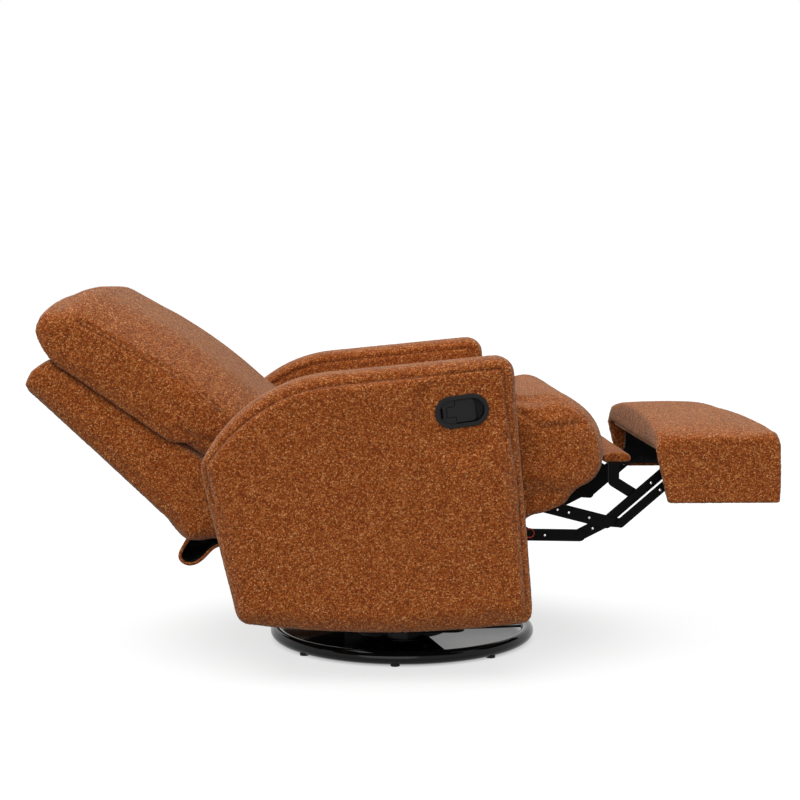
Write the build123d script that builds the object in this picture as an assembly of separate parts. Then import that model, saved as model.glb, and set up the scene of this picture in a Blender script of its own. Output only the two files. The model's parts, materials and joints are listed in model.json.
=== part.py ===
from build123d import *
from math import atan2, cos, degrees, hypot, radians, sin, sqrt, tan
import os

# Swivel glider recliner, shown reclined with its footrest out.
# Millimetres. +X is where the chair faces, +Z is up, and the origin is on the floor under the
# swivel pin. "right" is the sitter's right (-Y), "left" the sitter's left (+Y).

# ---------------------------------------------------------------- driving sizes

# Whole chair
chair_width = 780.0
arm_thickness = 95.0
soft_gap = 0.4            # clearance between soft pieces and what they lie on
running_gap = 0.3         # radial clearance of every turning pin

# Floor ring
ring_radius = 256.0
ring_tube_radius = 12.5
foot_count = 8
foot_radius = 9.0
foot_lift = 3.0           # floor to the underside of the ring
foot_start_angle = -5.0
wing_waist = 82.0         # the base plate's width across its middle
wing_flare = 48.0         # each wing's edges spread this far from its centre line, in degrees
wing_angle = 55.0         # heading of the wings
wing_sheet = 5.0
hub_radius = 92.0
hub_height = 13.0

# Swivel
swivel_plate_side = 150.0
swivel_plate_sheet = 4.0
swivel_corner_radius = 14.0
race_inner_radius = 42.0
race_outer_radius = 58.0
race_height = 6.0
king_pin_radius = 8.0
king_pin_head_radius = 14.0
king_pin_head_height = 5.0

# Glider carriage and its hanging links
carriage_end_margin = 5.0   # deck beyond the brackets' feet
carriage_side_margin = 20.0
carriage_sheet = 5.0
carriage_corner_radius = 24.0
carriage_window_radius = 32.0
carriage_window_end_margin = 14.0
carriage_window_side_margin = 38.0
king_pin_head_clearance = 4.0
glide_pivot_x = 90.0      # front and rear pivots stand this far from the swivel pin
glide_upper_pivot_z = 198.5
glide_link_length = 120.0
glide_link_width = 30.0
glide_link_sheet = 5.0
glide_pin_radius = 6.0
glide_pin_head_radius = 10.0
glide_pin_head_height = 3.0
glide_bracket_sheet = 5.0
glide_bracket_y = 138.0   # inner face of the carriage brackets
glide_bracket_foot_width = 46.0
glide_bracket_top_width = 32.0
glide_bracket_flange = 24.0
glide_link_gap = 5.0      # bracket to link
glide_beam_gap = 3.0      # link to beam
glide_beam_sheet = 5.0
glide_beam_flange = 24.0
glide_beam_rear_overhang = 150.0
glide_beam_front_overhang = 20.0
glide_beam_depth = 18.0   # metal below the lower pivots

# Chassis
rail_thickness = 24.0
rail_bottom_z = 108.5
rail_height = 60.0
rail_rear_x = -270.0
rail_front_x = 150.0
cross_rail_width = 26.0
cross_rail_height = 30.0
cross_rail_front_x = 0.0
cross_rail_rear_x = -222.0
guide_rod_radius = 8.0
guide_rod_z = 222.5
guide_rod_rear_x = -178.0
guide_rod_front_x = 104.0
guide_post_sheet = 14.0
guide_post_inset = 8.0
guide_post_width = 22.0
guide_post_cap = 4.0      # post above the rod's half width
slider_length = 100.0
slider_width = 20.0

# Arm outline (X, Z)
arm_toe = (222.0, 111.5)
arm_front_top = (187.0, 596.5)
arm_top_break = (-150.0, 563.5)
arm_shoulder = (-292.0, 505.5)
arm_rear_top = (-377.0, 398.5)
arm_heel = (-307.0, 114.0)
arm_sole = (-50.0, 94.5)
arm_toe_radius = 22.0
arm_front_radius = 30.0
arm_rear_radius = 38.0
arm_heel_radius = 26.0
arm_edge_radius = 17.0

# Latch in the right arm
latch_centre = (93.0, 497.5)
latch_tilt = 8.0
latch_length = 97.0
latch_height = 58.0
latch_rim_width = 5.0
latch_rim_height = 3.0
latch_wall = 2.5
latch_depth = 30.0
lever_sheet = 6.0
lever_pin_radius = 2.5
lever_neck_length = 20.0
lever_neck_width = 18.0
lever_head_length = 35.0
lever_head_width = 40.0
lever_head_corner = 8.0
lever_set_back = 4.0      # the lever lies this far behind the arm's face
lever_slot_gap = 1.0      # lever to the deck round its neck
latch_deck_set_back = 3.0
latch_deck_sheet = 2.5
lever_boss_radius = 6.0
lever_end_gap = 4.0       # cup's rear wall to the lever's boss
lever_ear_sheet = 3.0

# Seat
seat_arm_gap = 7.0        # cushion to each arm
seat_bottom_z = 342.5
seat_nose_x = 374.0
seat_crown_z = 537.5
seat_rear_top = (-189.0, 498.5)
seat_nose_z = 405.5       # height of the foremost point
seat_brow_x = 250.0       # where the top turns down into the nose
seat_brow_drop = 6.0
seat_waist_drop = 55.0    # the nose's upper bulge lies this far below the crown
seat_waist_set_back = 24.0
seat_chin_z = 365.5
seat_chin_set_back = 9.0
seat_nose_undercut = 46.0 # nose to the front of the cushion's flat underside
seat_middle_rise = 3.0
seat_relief_gap = 20.0    # the cushion's rear stays this far outside the back cushion's swing
seat_nose_draw = 200.0    # how far the nose falls back as the crown falls away
seat_crown_shares = {0: 1.0, 0.6: 0.995, 0.9: 0.975, 1.0: 0.92}
side_panel_inset = 7.0    # cushion's side to the side panel's outer face
side_panel_thickness = 26.0
side_panel_rear_x = -240.0
side_panel_bottom_z = 252.5
side_panel_toe_x = 190.0
side_panel_slope = ((228.0, 287.5), (263.0, 295.5), (297.0, 311.0), (316.0, 338.5))
seat_rail_thickness = 20.0
seat_front_rail_x = 272.0
seat_front_rail_height = 30.0
spring_count = 4
spring_wire = 3.2
spring_waves = 9
spring_wave_width = 44.0
spring_pitch_y = 110.0
spring_drop = 14.0        # springs hang this far below the rails' tops

# Back
hinge_point = (-300.0, 390.5)
hinge_pin_radius = 6.0
hinge_pin_head_radius = 9.5
hinge_pin_head_height = 2.5
hinge_plate_sheet = 4.0
hinge_plate_end_radius = 18.0
hinge_plate_gap = 2.0
back_plate_head = (-343.0, 364.0)  # far corners of the back's hinge plates
back_plate_foot = (-334.0, 328.0)
back_shell_heel = (-404.0, 255.5)
back_shell_sole = (-298.0, 265.5)
back_shell_throat = (-300.0, 343.5)
back_shell_front_top = (-652.0, 590.5)
back_shell_peak = (-690.0, 570.5)
back_shell_rear_top = (-704.0, 542.5)
back_cushion_inset = 7.0           # shell's side to the cushion's
back_crown = 190.0
back_crown_shares = {0: 1.0, 0.6: 0.97, 0.88: 0.84, 1.0: 0.56}
# The cushion's outline from its head to its foot: runs down the shell, and rises above it.
back_cushion_runs = (2.0, -32.0, -66.0, -84.0, -58.0, -30.0, 15.0, 178.0, 346.0, 416.0, 446.0, 450.0)
back_rise_shares = (0.0, 0.02, 0.1, 0.33, 0.58, 0.79, 0.89, 1.0, 0.93, 0.82, 0.56, 0.28)
back_cushion_foot_inset = 4.0
back_head_draw = 18.0              # how far the head draws in as the crown falls away
back_swing_radius = 150.0          # reach of the cushion's lower end from the recline hinge
flap_inset = 39.0                  # shell's side to the flap's
flap_cloth = 4.0
flap_seam_inset = 6.0
flap_route = ((-424.0, 220.5), (-408.0, 202.5), (-352.0, 230.5), (-243.0, 248.5))

# Footrest linkage. Its bars lie beside each other in three layers, mirrored left and right.
bar_sheet = 4.0
rear_bar_width = 25.0
lower_rear_bar_width = 23.0
tail_width = 23.0
front_bar_width = 18.0
lower_front_bar_width = 17.0
lug_width = 18.0
layer_step = 6.0
mechanism_rail_thickness = 49.0
mechanism_rail_length = 114.0
mechanism_rail_overhang = 11.0     # rail ahead of the upper rear pivot
mechanism_rail_drop = 27.0         # rail below that pivot
mount_plate_sheet = 4.0
mount_plate_tail = (-40.0, 4.0)    # from the upper pivot to the plate's rear corner
upper_rear_pivot = (211.0, 309.5)
crank = (176.0, -46.0)         # from a rear pivot to the front end of its bar
pivot_spread = (-51.5, -26.0)  # from the upper bars' pivots to the lower rear bar's
lower_rear_elbow = (-99.5, 2.0)    # the lower rear bar bends here, measured from its front end
lug_reach = (26.5, -2.0)       # from the crossing pivot to the lug, and at the ottoman too
front_bar_reach = (114.0, 98.5)
link_pin_radius = 4.0
link_head_radius = 6.5
link_head_height = 1.5
rivet_radius = 2.5
rivet_head_radius = 4.5
rivet_head_height = 1.2
flipper_pivot_share = 0.51     # place of the flipper's pivot along the upper front bar
upper_rear_rivet_shares = (0.46, 0.585, 0.81)
lower_rear_rivet_share = 0.32  # from the elbow to the front end
upper_front_tail_rivet_share = 0.5
upper_front_rivet_share = 0.76
lower_front_rivet_share = 0.66
drive_tube_side = 18.0
drive_tube_wall = 2.0
drive_tube_share = 0.28        # place of the cross tube along the upper rear bars

# Ottoman
ottoman_arm_inset = 10.0       # inner face of the arms to the ottoman's side
ottoman_front_x = 701.0
ottoman_rear_top_x = 465.0
ottoman_rear_foot_x = 489.0
ottoman_bottom_z = 313.5
ottoman_edge_z = 434.5
ottoman_crown_z = 451.5
ottoman_front_corner = (24.0, 21.0)    # run and drop of the top's front corner
ottoman_front_bow = 2.0
ottoman_front_bulge = (8.0, 6.0)
ottoman_top_bow = 14.0
ottoman_rear_corner = (18.0, 16.0)
ottoman_rear_bulge = (5.0, 4.0)
ottoman_wall = 16.0
ottoman_board_z = 405.5
ottoman_board_sheet = 8.0
ottoman_board_inset = 14.0     # cover's rear edge to the board
ottoman_bracket_rear = 10.0    # bracket behind the ottoman's pivot
ottoman_bracket_length = 112.0
ottoman_bracket_lip = 2.0
ottoman_bracket_end = 12.0
ottoman_bracket_toe = (54.0, -12.0)    # from the ottoman's pivot to the bracket's front corner
ottoman_flange_start = 30.0
ottoman_flange_length = 70.0
ottoman_flange_width = 18.0
bracket_flange_sheet = 3.0
ottoman_crown_shares = {0: 1.0, 0.6: 0.995, 0.9: 0.975, 1.0: 0.91}

# Flipper
flipper_rear_x = 382.0
flipper_front_x = 436.0
flipper_end_set_back = 3.0     # the brackets' outer faces to the board's ends
flipper_bottom_z = 376.5
flipper_thickness = 19.0
flipper_edge_drop = 5.0        # the top's crown down to its edges
flipper_crown_rise = 2.0
flipper_elbow = (402.5, 340.5)
flipper_arm_width = 21.0
flipper_tab_length = 43.0
flipper_tab_reach = 30.0       # tab under the board, from its end

# ---------------------------------------------------------------- derived places

inner_arm_y = chair_width / 2 - arm_thickness
ring_z = foot_lift + ring_tube_radius
hub_bottom_z = ring_z - wing_sheet / 2
hub_top_z = hub_bottom_z + hub_height
lower_plate_top_z = hub_top_z + swivel_plate_sheet
race_top_z = lower_plate_top_z + race_height
upper_plate_top_z = race_top_z + swivel_plate_sheet
carriage_top_z = upper_plate_top_z + carriage_sheet
carriage_length = 2 * (glide_pivot_x + glide_bracket_foot_width / 2 + carriage_end_margin)
carriage_width = 2 * (glide_bracket_y + carriage_side_margin)
glide_lower_pivot_z = glide_upper_pivot_z - glide_link_length
glide_link_y = glide_bracket_y + glide_bracket_sheet + glide_link_gap
glide_beam_y = glide_link_y + glide_link_sheet + glide_beam_gap
rail_y = inner_arm_y - rail_thickness
rail_top_z = rail_bottom_z + rail_height
seat_half_width = inner_arm_y - seat_arm_gap
side_panel_outer_y = seat_half_width - side_panel_inset
side_panel_y = side_panel_outer_y - side_panel_thickness
guide_rod_y = side_panel_y + side_panel_thickness / 2
seat_hinge_plate_y = side_panel_outer_y
back_hinge_plate_y = seat_hinge_plate_y - hinge_plate_gap - hinge_plate_sheet
back_shell_half_width = back_hinge_plate_y
back_cushion_half_width = back_shell_half_width - back_cushion_inset
flap_half_width = back_shell_half_width - flap_inset
mechanism_rail_y = side_panel_y - mechanism_rail_thickness
mount_plate_y = mechanism_rail_y - mount_plate_sheet
rear_layer_y = mount_plate_y - layer_step - bar_sheet / 2
front_layer_y = rear_layer_y - layer_step
outer_layer_y = rear_layer_y + layer_step
flipper_layer_y = front_layer_y - layer_step
flipper_half_width = flipper_layer_y + bar_sheet / 2 - flipper_end_set_back
ottoman_half_width = inner_arm_y - ottoman_arm_inset


def plus(a, b):
    return (a[0] + b[0], a[1] + b[1])


def between(a, b, share):
    return (a[0] + (b[0] - a[0]) * share, a[1] + (b[1] - a[1]) * share)


def turned(vector, angle):
    """A vector of the XZ plane turned by an angle in degrees, from X towards Z."""
    c, s = cos(radians(angle)), sin(radians(angle))
    return (vector[0] * c - vector[1] * s, vector[0] * s + vector[1] * c)


lower_rear_pivot = plus(upper_rear_pivot, pivot_spread)
crossing_pivot = plus(upper_rear_pivot, crank)
tail_pivot = plus(lower_rear_pivot, crank)
lower_rear_bend = plus(tail_pivot, lower_rear_elbow)
lug_pivot = plus(crossing_pivot, lug_reach)
ottoman_pivot = plus(crossing_pivot, front_bar_reach)
ottoman_lower_pivot = plus(ottoman_pivot, lug_reach)
flipper_pivot = between(crossing_pivot, ottoman_pivot, flipper_pivot_share)

os.makedirs("parts", exist_ok=True)


# ---------------------------------------------------------------- shared shapes

def save(name, *solids):
    """Writes one or more solids as one named piece."""
    flat = [solid for item in solids for solid in item.solids()]
    piece = flat[0] if len(flat) == 1 else Compound(children=flat)
    piece.label = name
    export_step(piece, f"parts/{name}.step")


def slab(face, y_low, y_high):
    """A flat XZ face stretched from y_low to y_high."""
    return extrude(Plane.XZ.offset(-y_low) * face, amount=-(y_high - y_low))


def other_side(shape):
    """The same piece on the right of the chair."""
    return mirror(shape, about=Plane.XZ)


def save_pair(name, shape):
    """A left and a right piece, each in its own file."""
    save(name + "_left", shape)
    save(name + "_right", other_side(shape))


def save_both(name, *shapes):
    """Left pieces and their right-hand twins, as separate solids of one file."""
    save(name, *shapes, *[other_side(shape) for shape in shapes])


def disc(centre, radius):
    return Pos(centre[0], centre[1]) * Circle(radius)


def strip(start, end, width):
    """A round-ended bar between two points."""
    length = hypot(end[0] - start[0], end[1] - start[1])
    angle = degrees(atan2(end[1] - start[1], end[0] - start[0]))
    middle = between(start, end, 0.5)
    return Pos(middle[0], middle[1]) * Rot(0, 0, angle) * SlotCenterToCenter(length, width)


def outline(*points):
    """A closed straight-sided face through points."""
    return make_face(Polyline(*points, close=True))


def rod(centre, radius, y_low, y_high):
    return slab(disc(centre, radius), y_low, y_high)


def headed_pin(centre, radius, head_radius, head_height, y_low, y_high):
    """A pin whose shank runs from y_low to y_high, with a head outside each end."""
    shank = rod(centre, radius, y_low, y_high)
    inner_head = rod(centre, head_radius, y_low - head_height, y_low)
    outer_head = rod(centre, head_radius, y_high, y_high + head_height)
    return shank + inner_head + outer_head


# ---------------------------------------------------------------- floor base

def make_base():
    ring = Pos(0, 0, ring_z) * Torus(ring_radius, ring_tube_radius)
    save("base_ring", ring)

    foot = Cylinder(foot_radius, ring_z, align=(Align.CENTER, Align.CENTER, Align.MIN)) - Pos(
        -ring_radius, 0, 0) * ring
    foot = foot.solids().sort_by(Axis.Z)[0]
    places = PolarLocations(ring_radius, foot_count, start_angle=foot_start_angle)
    save("floor_glides", *[place * foot for place in places])

    # Two broad wings joined at a waist under the hub, cut round where they meet the ring.
    half_waist = wing_waist / 2
    half_tip = half_waist + ring_radius * tan(radians(wing_flare))
    wing = outline((0, -half_waist), (ring_radius, -half_tip), (ring_radius, half_tip), (0, half_waist))
    wings = (wing + Rot(0, 0, 180) * wing) & Circle(ring_radius)
    cross = Pos(0, 0, hub_bottom_z) * Rot(0, 0, wing_angle) * extrude(wings, amount=wing_sheet)
    hub = Pos(0, 0, hub_bottom_z) * Cylinder(
        hub_radius, hub_height, align=(Align.CENTER, Align.CENTER, Align.MIN))
    bore = Pos(0, 0, hub_bottom_z) * Cylinder(king_pin_radius, 3 * hub_height)
    save("base_cross", cross + hub - bore - ring)

    plate = RectangleRounded(swivel_plate_side, swivel_plate_side, swivel_corner_radius)
    plate -= Circle(king_pin_radius)
    save("swivel_plate_lower", Pos(0, 0, hub_top_z) * extrude(plate, amount=swivel_plate_sheet))

    race = Circle(race_outer_radius) - Circle(race_inner_radius)
    save("swivel_race", Pos(0, 0, lower_plate_top_z) * extrude(race, amount=race_height))

    shank_height = upper_plate_top_z + running_gap - hub_bottom_z
    shank = Pos(0, 0, hub_bottom_z) * Cylinder(
        king_pin_radius, shank_height, align=(Align.CENTER, Align.CENTER, Align.MIN))
    head = Pos(0, 0, upper_plate_top_z + running_gap) * Cylinder(
        king_pin_head_radius, king_pin_head_height, align=(Align.CENTER, Align.CENTER, Align.MIN))
    save("king_pin", shank + head)


# ---------------------------------------------------------------- swivelling carriage

def glide_bracket(x_sign):
    """One upright of the carriage, on its foot flange, with the pin bore at its top."""
    x = x_sign * glide_pivot_x
    top = (x, glide_upper_pivot_z)
    half_foot = glide_bracket_foot_width / 2
    web = make_hull(
        disc(top, glide_bracket_top_width / 2).edges()
        + outline((x - half_foot, carriage_top_z), (x + half_foot, carriage_top_z),
                  (x + half_foot, carriage_top_z + half_foot),
                  (x - half_foot, carriage_top_z + half_foot)).edges())
    web -= disc(top, glide_pin_radius)
    upright = slab(web, glide_bracket_y, glide_bracket_y + glide_bracket_sheet)
    foot = Pos(x, glide_bracket_y - glide_bracket_flange / 2, carriage_top_z) * Box(
        glide_bracket_foot_width, glide_bracket_flange, glide_bracket_sheet,
        align=(Align.CENTER, Align.CENTER, Align.MIN))
    return upright + foot


def make_carriage():
    plate = RectangleRounded(swivel_plate_side, swivel_plate_side, swivel_corner_radius)
    plate -= Circle(king_pin_radius + running_gap)
    save("swivel_plate_upper", Pos(0, 0, race_top_z) * extrude(plate, amount=swivel_plate_sheet))

    deck = RectangleRounded(carriage_length, carriage_width, carriage_corner_radius)
    deck -= Circle(king_pin_head_radius + king_pin_head_clearance)
    window_x = carriage_length / 2 - carriage_window_radius - carriage_window_end_margin
    window_y = carriage_width / 2 - carriage_window_radius - carriage_window_side_margin
    for place in GridLocations(2 * window_x, 2 * window_y, 2, 2):
        deck -= place * Circle(carriage_window_radius)
    save("carriage_plate", Pos(0, 0, upper_plate_top_z) * extrude(deck, amount=carriage_sheet))

    brackets = [glide_bracket(x_sign) for x_sign in (1, -1)]
    save_both("glide_brackets", *brackets)

    pins = [headed_pin((x_sign * glide_pivot_x, glide_upper_pivot_z), glide_pin_radius,
                       glide_pin_head_radius, glide_pin_head_height,
                       glide_bracket_y, glide_link_y + glide_link_sheet + running_gap)
            for x_sign in (1, -1)]
    save_both("glide_pins_upper", *pins)


def make_glide_links():
    for x_sign, place in ((1, "front"), (-1, "rear")):
        x = x_sign * glide_pivot_x
        top, bottom = (x, glide_upper_pivot_z), (x, glide_lower_pivot_z)
        bar = strip(top, bottom, glide_link_width)
        for pivot in (top, bottom):
            bar -= disc(pivot, glide_pin_radius + running_gap)
        save_both(f"glide_links_{place}", slab(bar, glide_link_y, glide_link_y + glide_link_sheet))


# ---------------------------------------------------------------- chassis

def make_chassis():
    front_end = glide_pivot_x + glide_beam_front_overhang
    rear_end = -glide_pivot_x - glide_beam_rear_overhang
    foot_z = glide_lower_pivot_z - glide_beam_depth
    web = outline((rear_end, rail_bottom_z), (rear_end, rail_bottom_z - glide_beam_depth),
                  (-glide_pivot_x - 2 * glide_beam_depth, foot_z),
                  (front_end - glide_beam_depth, foot_z),
                  (front_end, glide_lower_pivot_z), (front_end, rail_bottom_z))
    for x in (glide_pivot_x, -glide_pivot_x):
        web -= disc((x, glide_lower_pivot_z), glide_pin_radius)
    beam = slab(web, glide_beam_y, glide_beam_y + glide_beam_sheet)
    flange = Pos((front_end + rear_end) / 2, glide_beam_y, rail_bottom_z) * Box(
        front_end - rear_end, glide_beam_flange, glide_beam_sheet,
        align=(Align.CENTER, Align.MIN, Align.MAX))
    save_both("glide_beams", beam + flange)

    shank_start = glide_link_y - running_gap
    pins = [headed_pin((x, glide_lower_pivot_z), glide_pin_radius, glide_pin_head_radius,
                       glide_pin_head_height, shank_start, glide_beam_y + glide_beam_sheet)
            for x in (glide_pivot_x, -glide_pivot_x)]
    save_both("glide_pins_lower", *pins)

    rail = Pos((rail_front_x + rail_rear_x) / 2, rail_y, rail_bottom_z) * Box(
        rail_front_x - rail_rear_x, rail_thickness, rail_height,
        align=(Align.CENTER, Align.MIN, Align.MIN))
    save_pair("side_rail", rail)
    for place, x in (("front", cross_rail_front_x), ("rear", cross_rail_rear_x)):
        cross = Pos(x, 0, rail_bottom_z) * Box(
            cross_rail_width, 2 * rail_y, cross_rail_height,
            align=(Align.CENTER, Align.CENTER, Align.MIN))
        save(f"cross_rail_{place}", cross)

    rod_ends = (guide_rod_rear_x, guide_rod_front_x)
    rod_solid = Pos(sum(rod_ends) / 2, guide_rod_y, guide_rod_z) * Rot(0, 90, 0) * Cylinder(
        guide_rod_radius, rod_ends[1] - rod_ends[0])
    save_both("seat_guide_rods", rod_solid)
    post_top = guide_rod_z + guide_post_width / 2 + guide_post_cap
    post_y = guide_rod_y - guide_post_width / 2
    posts = []
    for x in (rod_ends[0] + guide_post_inset, rod_ends[1] - guide_post_inset - guide_post_sheet):
        post = Pos(x, post_y, rail_top_z) * Box(
            guide_post_sheet, inner_arm_y - post_y, post_top - rail_top_z,
            align=(Align.MIN, Align.MIN, Align.MIN))
        posts.append(post - rod_solid)
    save_both("guide_posts", *posts)


def make_arms():
    top = Line(arm_front_top, arm_top_break)
    shoulder = ThreePointArc(arm_top_break, arm_shoulder, arm_rear_top)
    rear = Line(arm_rear_top, arm_heel)
    sole = ThreePointArc(arm_heel, arm_sole, arm_toe)
    front = Line(arm_toe, arm_front_top)
    face = make_face([top, shoulder, rear, sole, front])
    corners = ((arm_toe, arm_toe_radius), (arm_front_top, arm_front_radius),
               (arm_rear_top, arm_rear_radius), (arm_heel, arm_heel_radius))
    for corner, radius in corners:
        vertex = face.vertices().sort_by_distance((corner[0], corner[1], 0))[0]
        face = fillet(vertex, radius)
    arm = slab(face, inner_arm_y, chair_width / 2)
    long_edges = [edge for edge in arm.edges() if abs(edge.center().Y - chair_width / 2) < 0.01]
    arm = fillet(long_edges, arm_edge_radius)
    save("arm_left", arm)

    pocket = slab(latch_oval(0), chair_width / 2 - latch_depth, chair_width / 2 + 1)
    save("arm_right", other_side(arm - pocket))


# ---------------------------------------------------------------- release latch

def level_oval(inset):
    return SlotOverall(latch_length - 2 * (inset + latch_rim_width),
                       latch_height - 2 * (inset + latch_rim_width))


def latch_oval(inset):
    return Pos(*latch_centre) * Rot(0, 0, latch_tilt) * level_oval(inset)


def make_latch():
    outer_y = chair_width / 2
    cup = slab(latch_oval(0), outer_y - latch_depth, outer_y)
    cup -= slab(latch_oval(latch_wall), outer_y - latch_depth + latch_wall, outer_y)
    rim = slab(latch_oval(-latch_rim_width), outer_y, outer_y + latch_rim_height)
    rim -= slab(latch_oval(latch_wall), outer_y, outer_y + latch_rim_height)
    rim_edges = rim.edges().filter_by_position(
        Axis.Y, outer_y + latch_rim_height - 0.01, outer_y + latch_rim_height + 0.01)
    rim = fillet(rim_edges.sort_by(SortBy.LENGTH)[-1:], latch_rim_height * 0.3)

    # Everything in the cup is drawn level at the cup's centre, then tilted and put in place.
    place = Pos(latch_centre[0], 0, latch_centre[1]) * Rot(0, -latch_tilt, 0)
    lever_top_y = outer_y - lever_set_back
    lever_low_y = lever_top_y - lever_sheet
    hinge_x = -latch_length / 2 + latch_rim_width + latch_wall + lever_boss_radius + lever_end_gap
    head_x = hinge_x + lever_neck_length
    blade = make_face(Polyline(
        (hinge_x, -lever_neck_width / 2), (head_x, -lever_neck_width / 2),
        (head_x, -lever_head_width / 2), (head_x + lever_head_length, -lever_head_width / 2),
        (head_x + lever_head_length, lever_head_width / 2), (head_x, lever_head_width / 2),
        (head_x, lever_neck_width / 2), (hinge_x, lever_neck_width / 2), close=True))
    head_corners = [vertex for vertex in blade.vertices() if vertex.X > head_x + 1]
    blade = fillet(head_corners, lever_head_corner)
    lever = slab(blade, lever_low_y, lever_top_y)
    boss_y = (lever_low_y + lever_top_y) / 2
    boss = Pos(hinge_x, boss_y, 0) * Cylinder(lever_boss_radius, lever_neck_width)
    pin_hole = Pos(hinge_x, boss_y, 0) * Cylinder(lever_pin_radius + running_gap, latch_height)
    lever = lever + boss - pin_hole

    ear_span = lever_neck_width + 2 * running_gap + 2 * lever_ear_sheet
    pin = Pos(hinge_x, boss_y, 0) * Cylinder(lever_pin_radius, ear_span)
    ear_depth = boss_y - (outer_y - latch_depth + latch_wall)
    ears = []
    for side in (1, -1):
        ear = Pos(hinge_x, boss_y - ear_depth / 2 + lever_pin_radius,
                  side * (ear_span - lever_ear_sheet) / 2) * Box(
            2 * lever_boss_radius, ear_depth + 2 * lever_pin_radius, lever_ear_sheet)
        ears.append(ear - pin)
    # The deck closes the cup behind the lever's head, and is cut away round its neck and boss.
    deck_edge = head_x - lever_slot_gap
    slot_rear = hinge_x - lever_boss_radius - lever_slot_gap
    deck = level_oval(0) & Pos(deck_edge - latch_length, 0) * Rectangle(2 * latch_length, latch_height)
    deck -= Pos((slot_rear + deck_edge) / 2, 0) * Rectangle(
        deck_edge - slot_rear, lever_neck_width + 2 * lever_slot_gap)
    deck_top_y = outer_y - latch_deck_set_back
    deck = place * (slab(deck, deck_top_y - latch_deck_sheet, deck_top_y) - pin)

    cup_right = other_side(cup + rim + deck + (place * ears[0]) + (place * ears[1]))
    save("latch_cup", cup_right)
    save("latch_pin", other_side(place * pin))
    save("latch_lever", other_side(place * lever))


# ---------------------------------------------------------------- soft forms

def section(points_and_bulges, y):
    """A closed profile at one y: each entry is a corner, and a bulge point or None before the next."""
    edges = []
    count = len(points_and_bulges)
    for i in range(count):
        start, bulge = points_and_bulges[i]
        end = points_and_bulges[(i + 1) % count][0]
        edges.append(Line(start, end) if bulge is None else ThreePointArc(start, bulge, end))
    return Plane.XZ.offset(-y) * make_face(edges)


def seat_profile(crown, nose):
    """The seat cushion's side view, with its crown and nose heights free."""
    rear_x, rear_z = seat_rear_top
    relief = back_swing_radius + seat_relief_gap
    foot_angle = degrees(atan2(seat_bottom_z - hinge_point[1], relief))
    rear_foot = (hinge_point[0] + sqrt(relief ** 2 - (seat_bottom_z - hinge_point[1]) ** 2),
                 seat_bottom_z)
    top_angle = degrees(atan2(rear_z - hinge_point[1], rear_x - hinge_point[0]))
    rear_top = plus(hinge_point, turned((relief, 0), top_angle))
    rear_bulge = plus(hinge_point, turned((relief, 0), (foot_angle + top_angle) / 2))
    brow = (seat_brow_x, crown - seat_brow_drop)
    top_middle = ((rear_top[0] + brow[0]) / 2, crown + seat_middle_rise)
    return [
        (rear_foot, rear_bulge),
        (rear_top, top_middle),
        (brow, (nose - seat_waist_set_back, crown - seat_waist_drop)),
        ((nose, seat_nose_z), (nose - seat_chin_set_back, seat_chin_z)),
        ((nose - seat_nose_undercut, seat_bottom_z), None),
    ]


def cushion_loft(profile_at, half_width, shares):
    """A loft across the chair. shares says how full the profile is at parts of the half width."""
    outward = sorted(shares.items())
    stations = [(-part, share) for part, share in reversed(outward) if part > 0] + outward
    return loft([section(profile_at(share), part * half_width) for part, share in stations])


def spring_places():
    return [(i - (spring_count - 1) / 2) * spring_pitch_y for i in range(spring_count)]


def seat_spring():
    """A zigzag seat spring, from the rear rail's front face to the front rail's rear face."""
    start_x = side_panel_rear_x + seat_rail_thickness + spring_wire / 2
    end_x = seat_front_rail_x - spring_wire / 2
    bars = 2 * spring_waves
    points = []
    for i in range(bars):
        x = start_x + (end_x - start_x) * i / (bars - 1)
        ends = [(x, -spring_wave_width / 2), (x, spring_wave_width / 2)]
        points += ends if i % 2 == 0 else ends[::-1]
    wire = trace(Polyline(*points), line_width=spring_wire)
    return Pos(0, 0, seat_bottom_z - soft_gap - spring_drop) * extrude(wire, amount=spring_wire)


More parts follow.
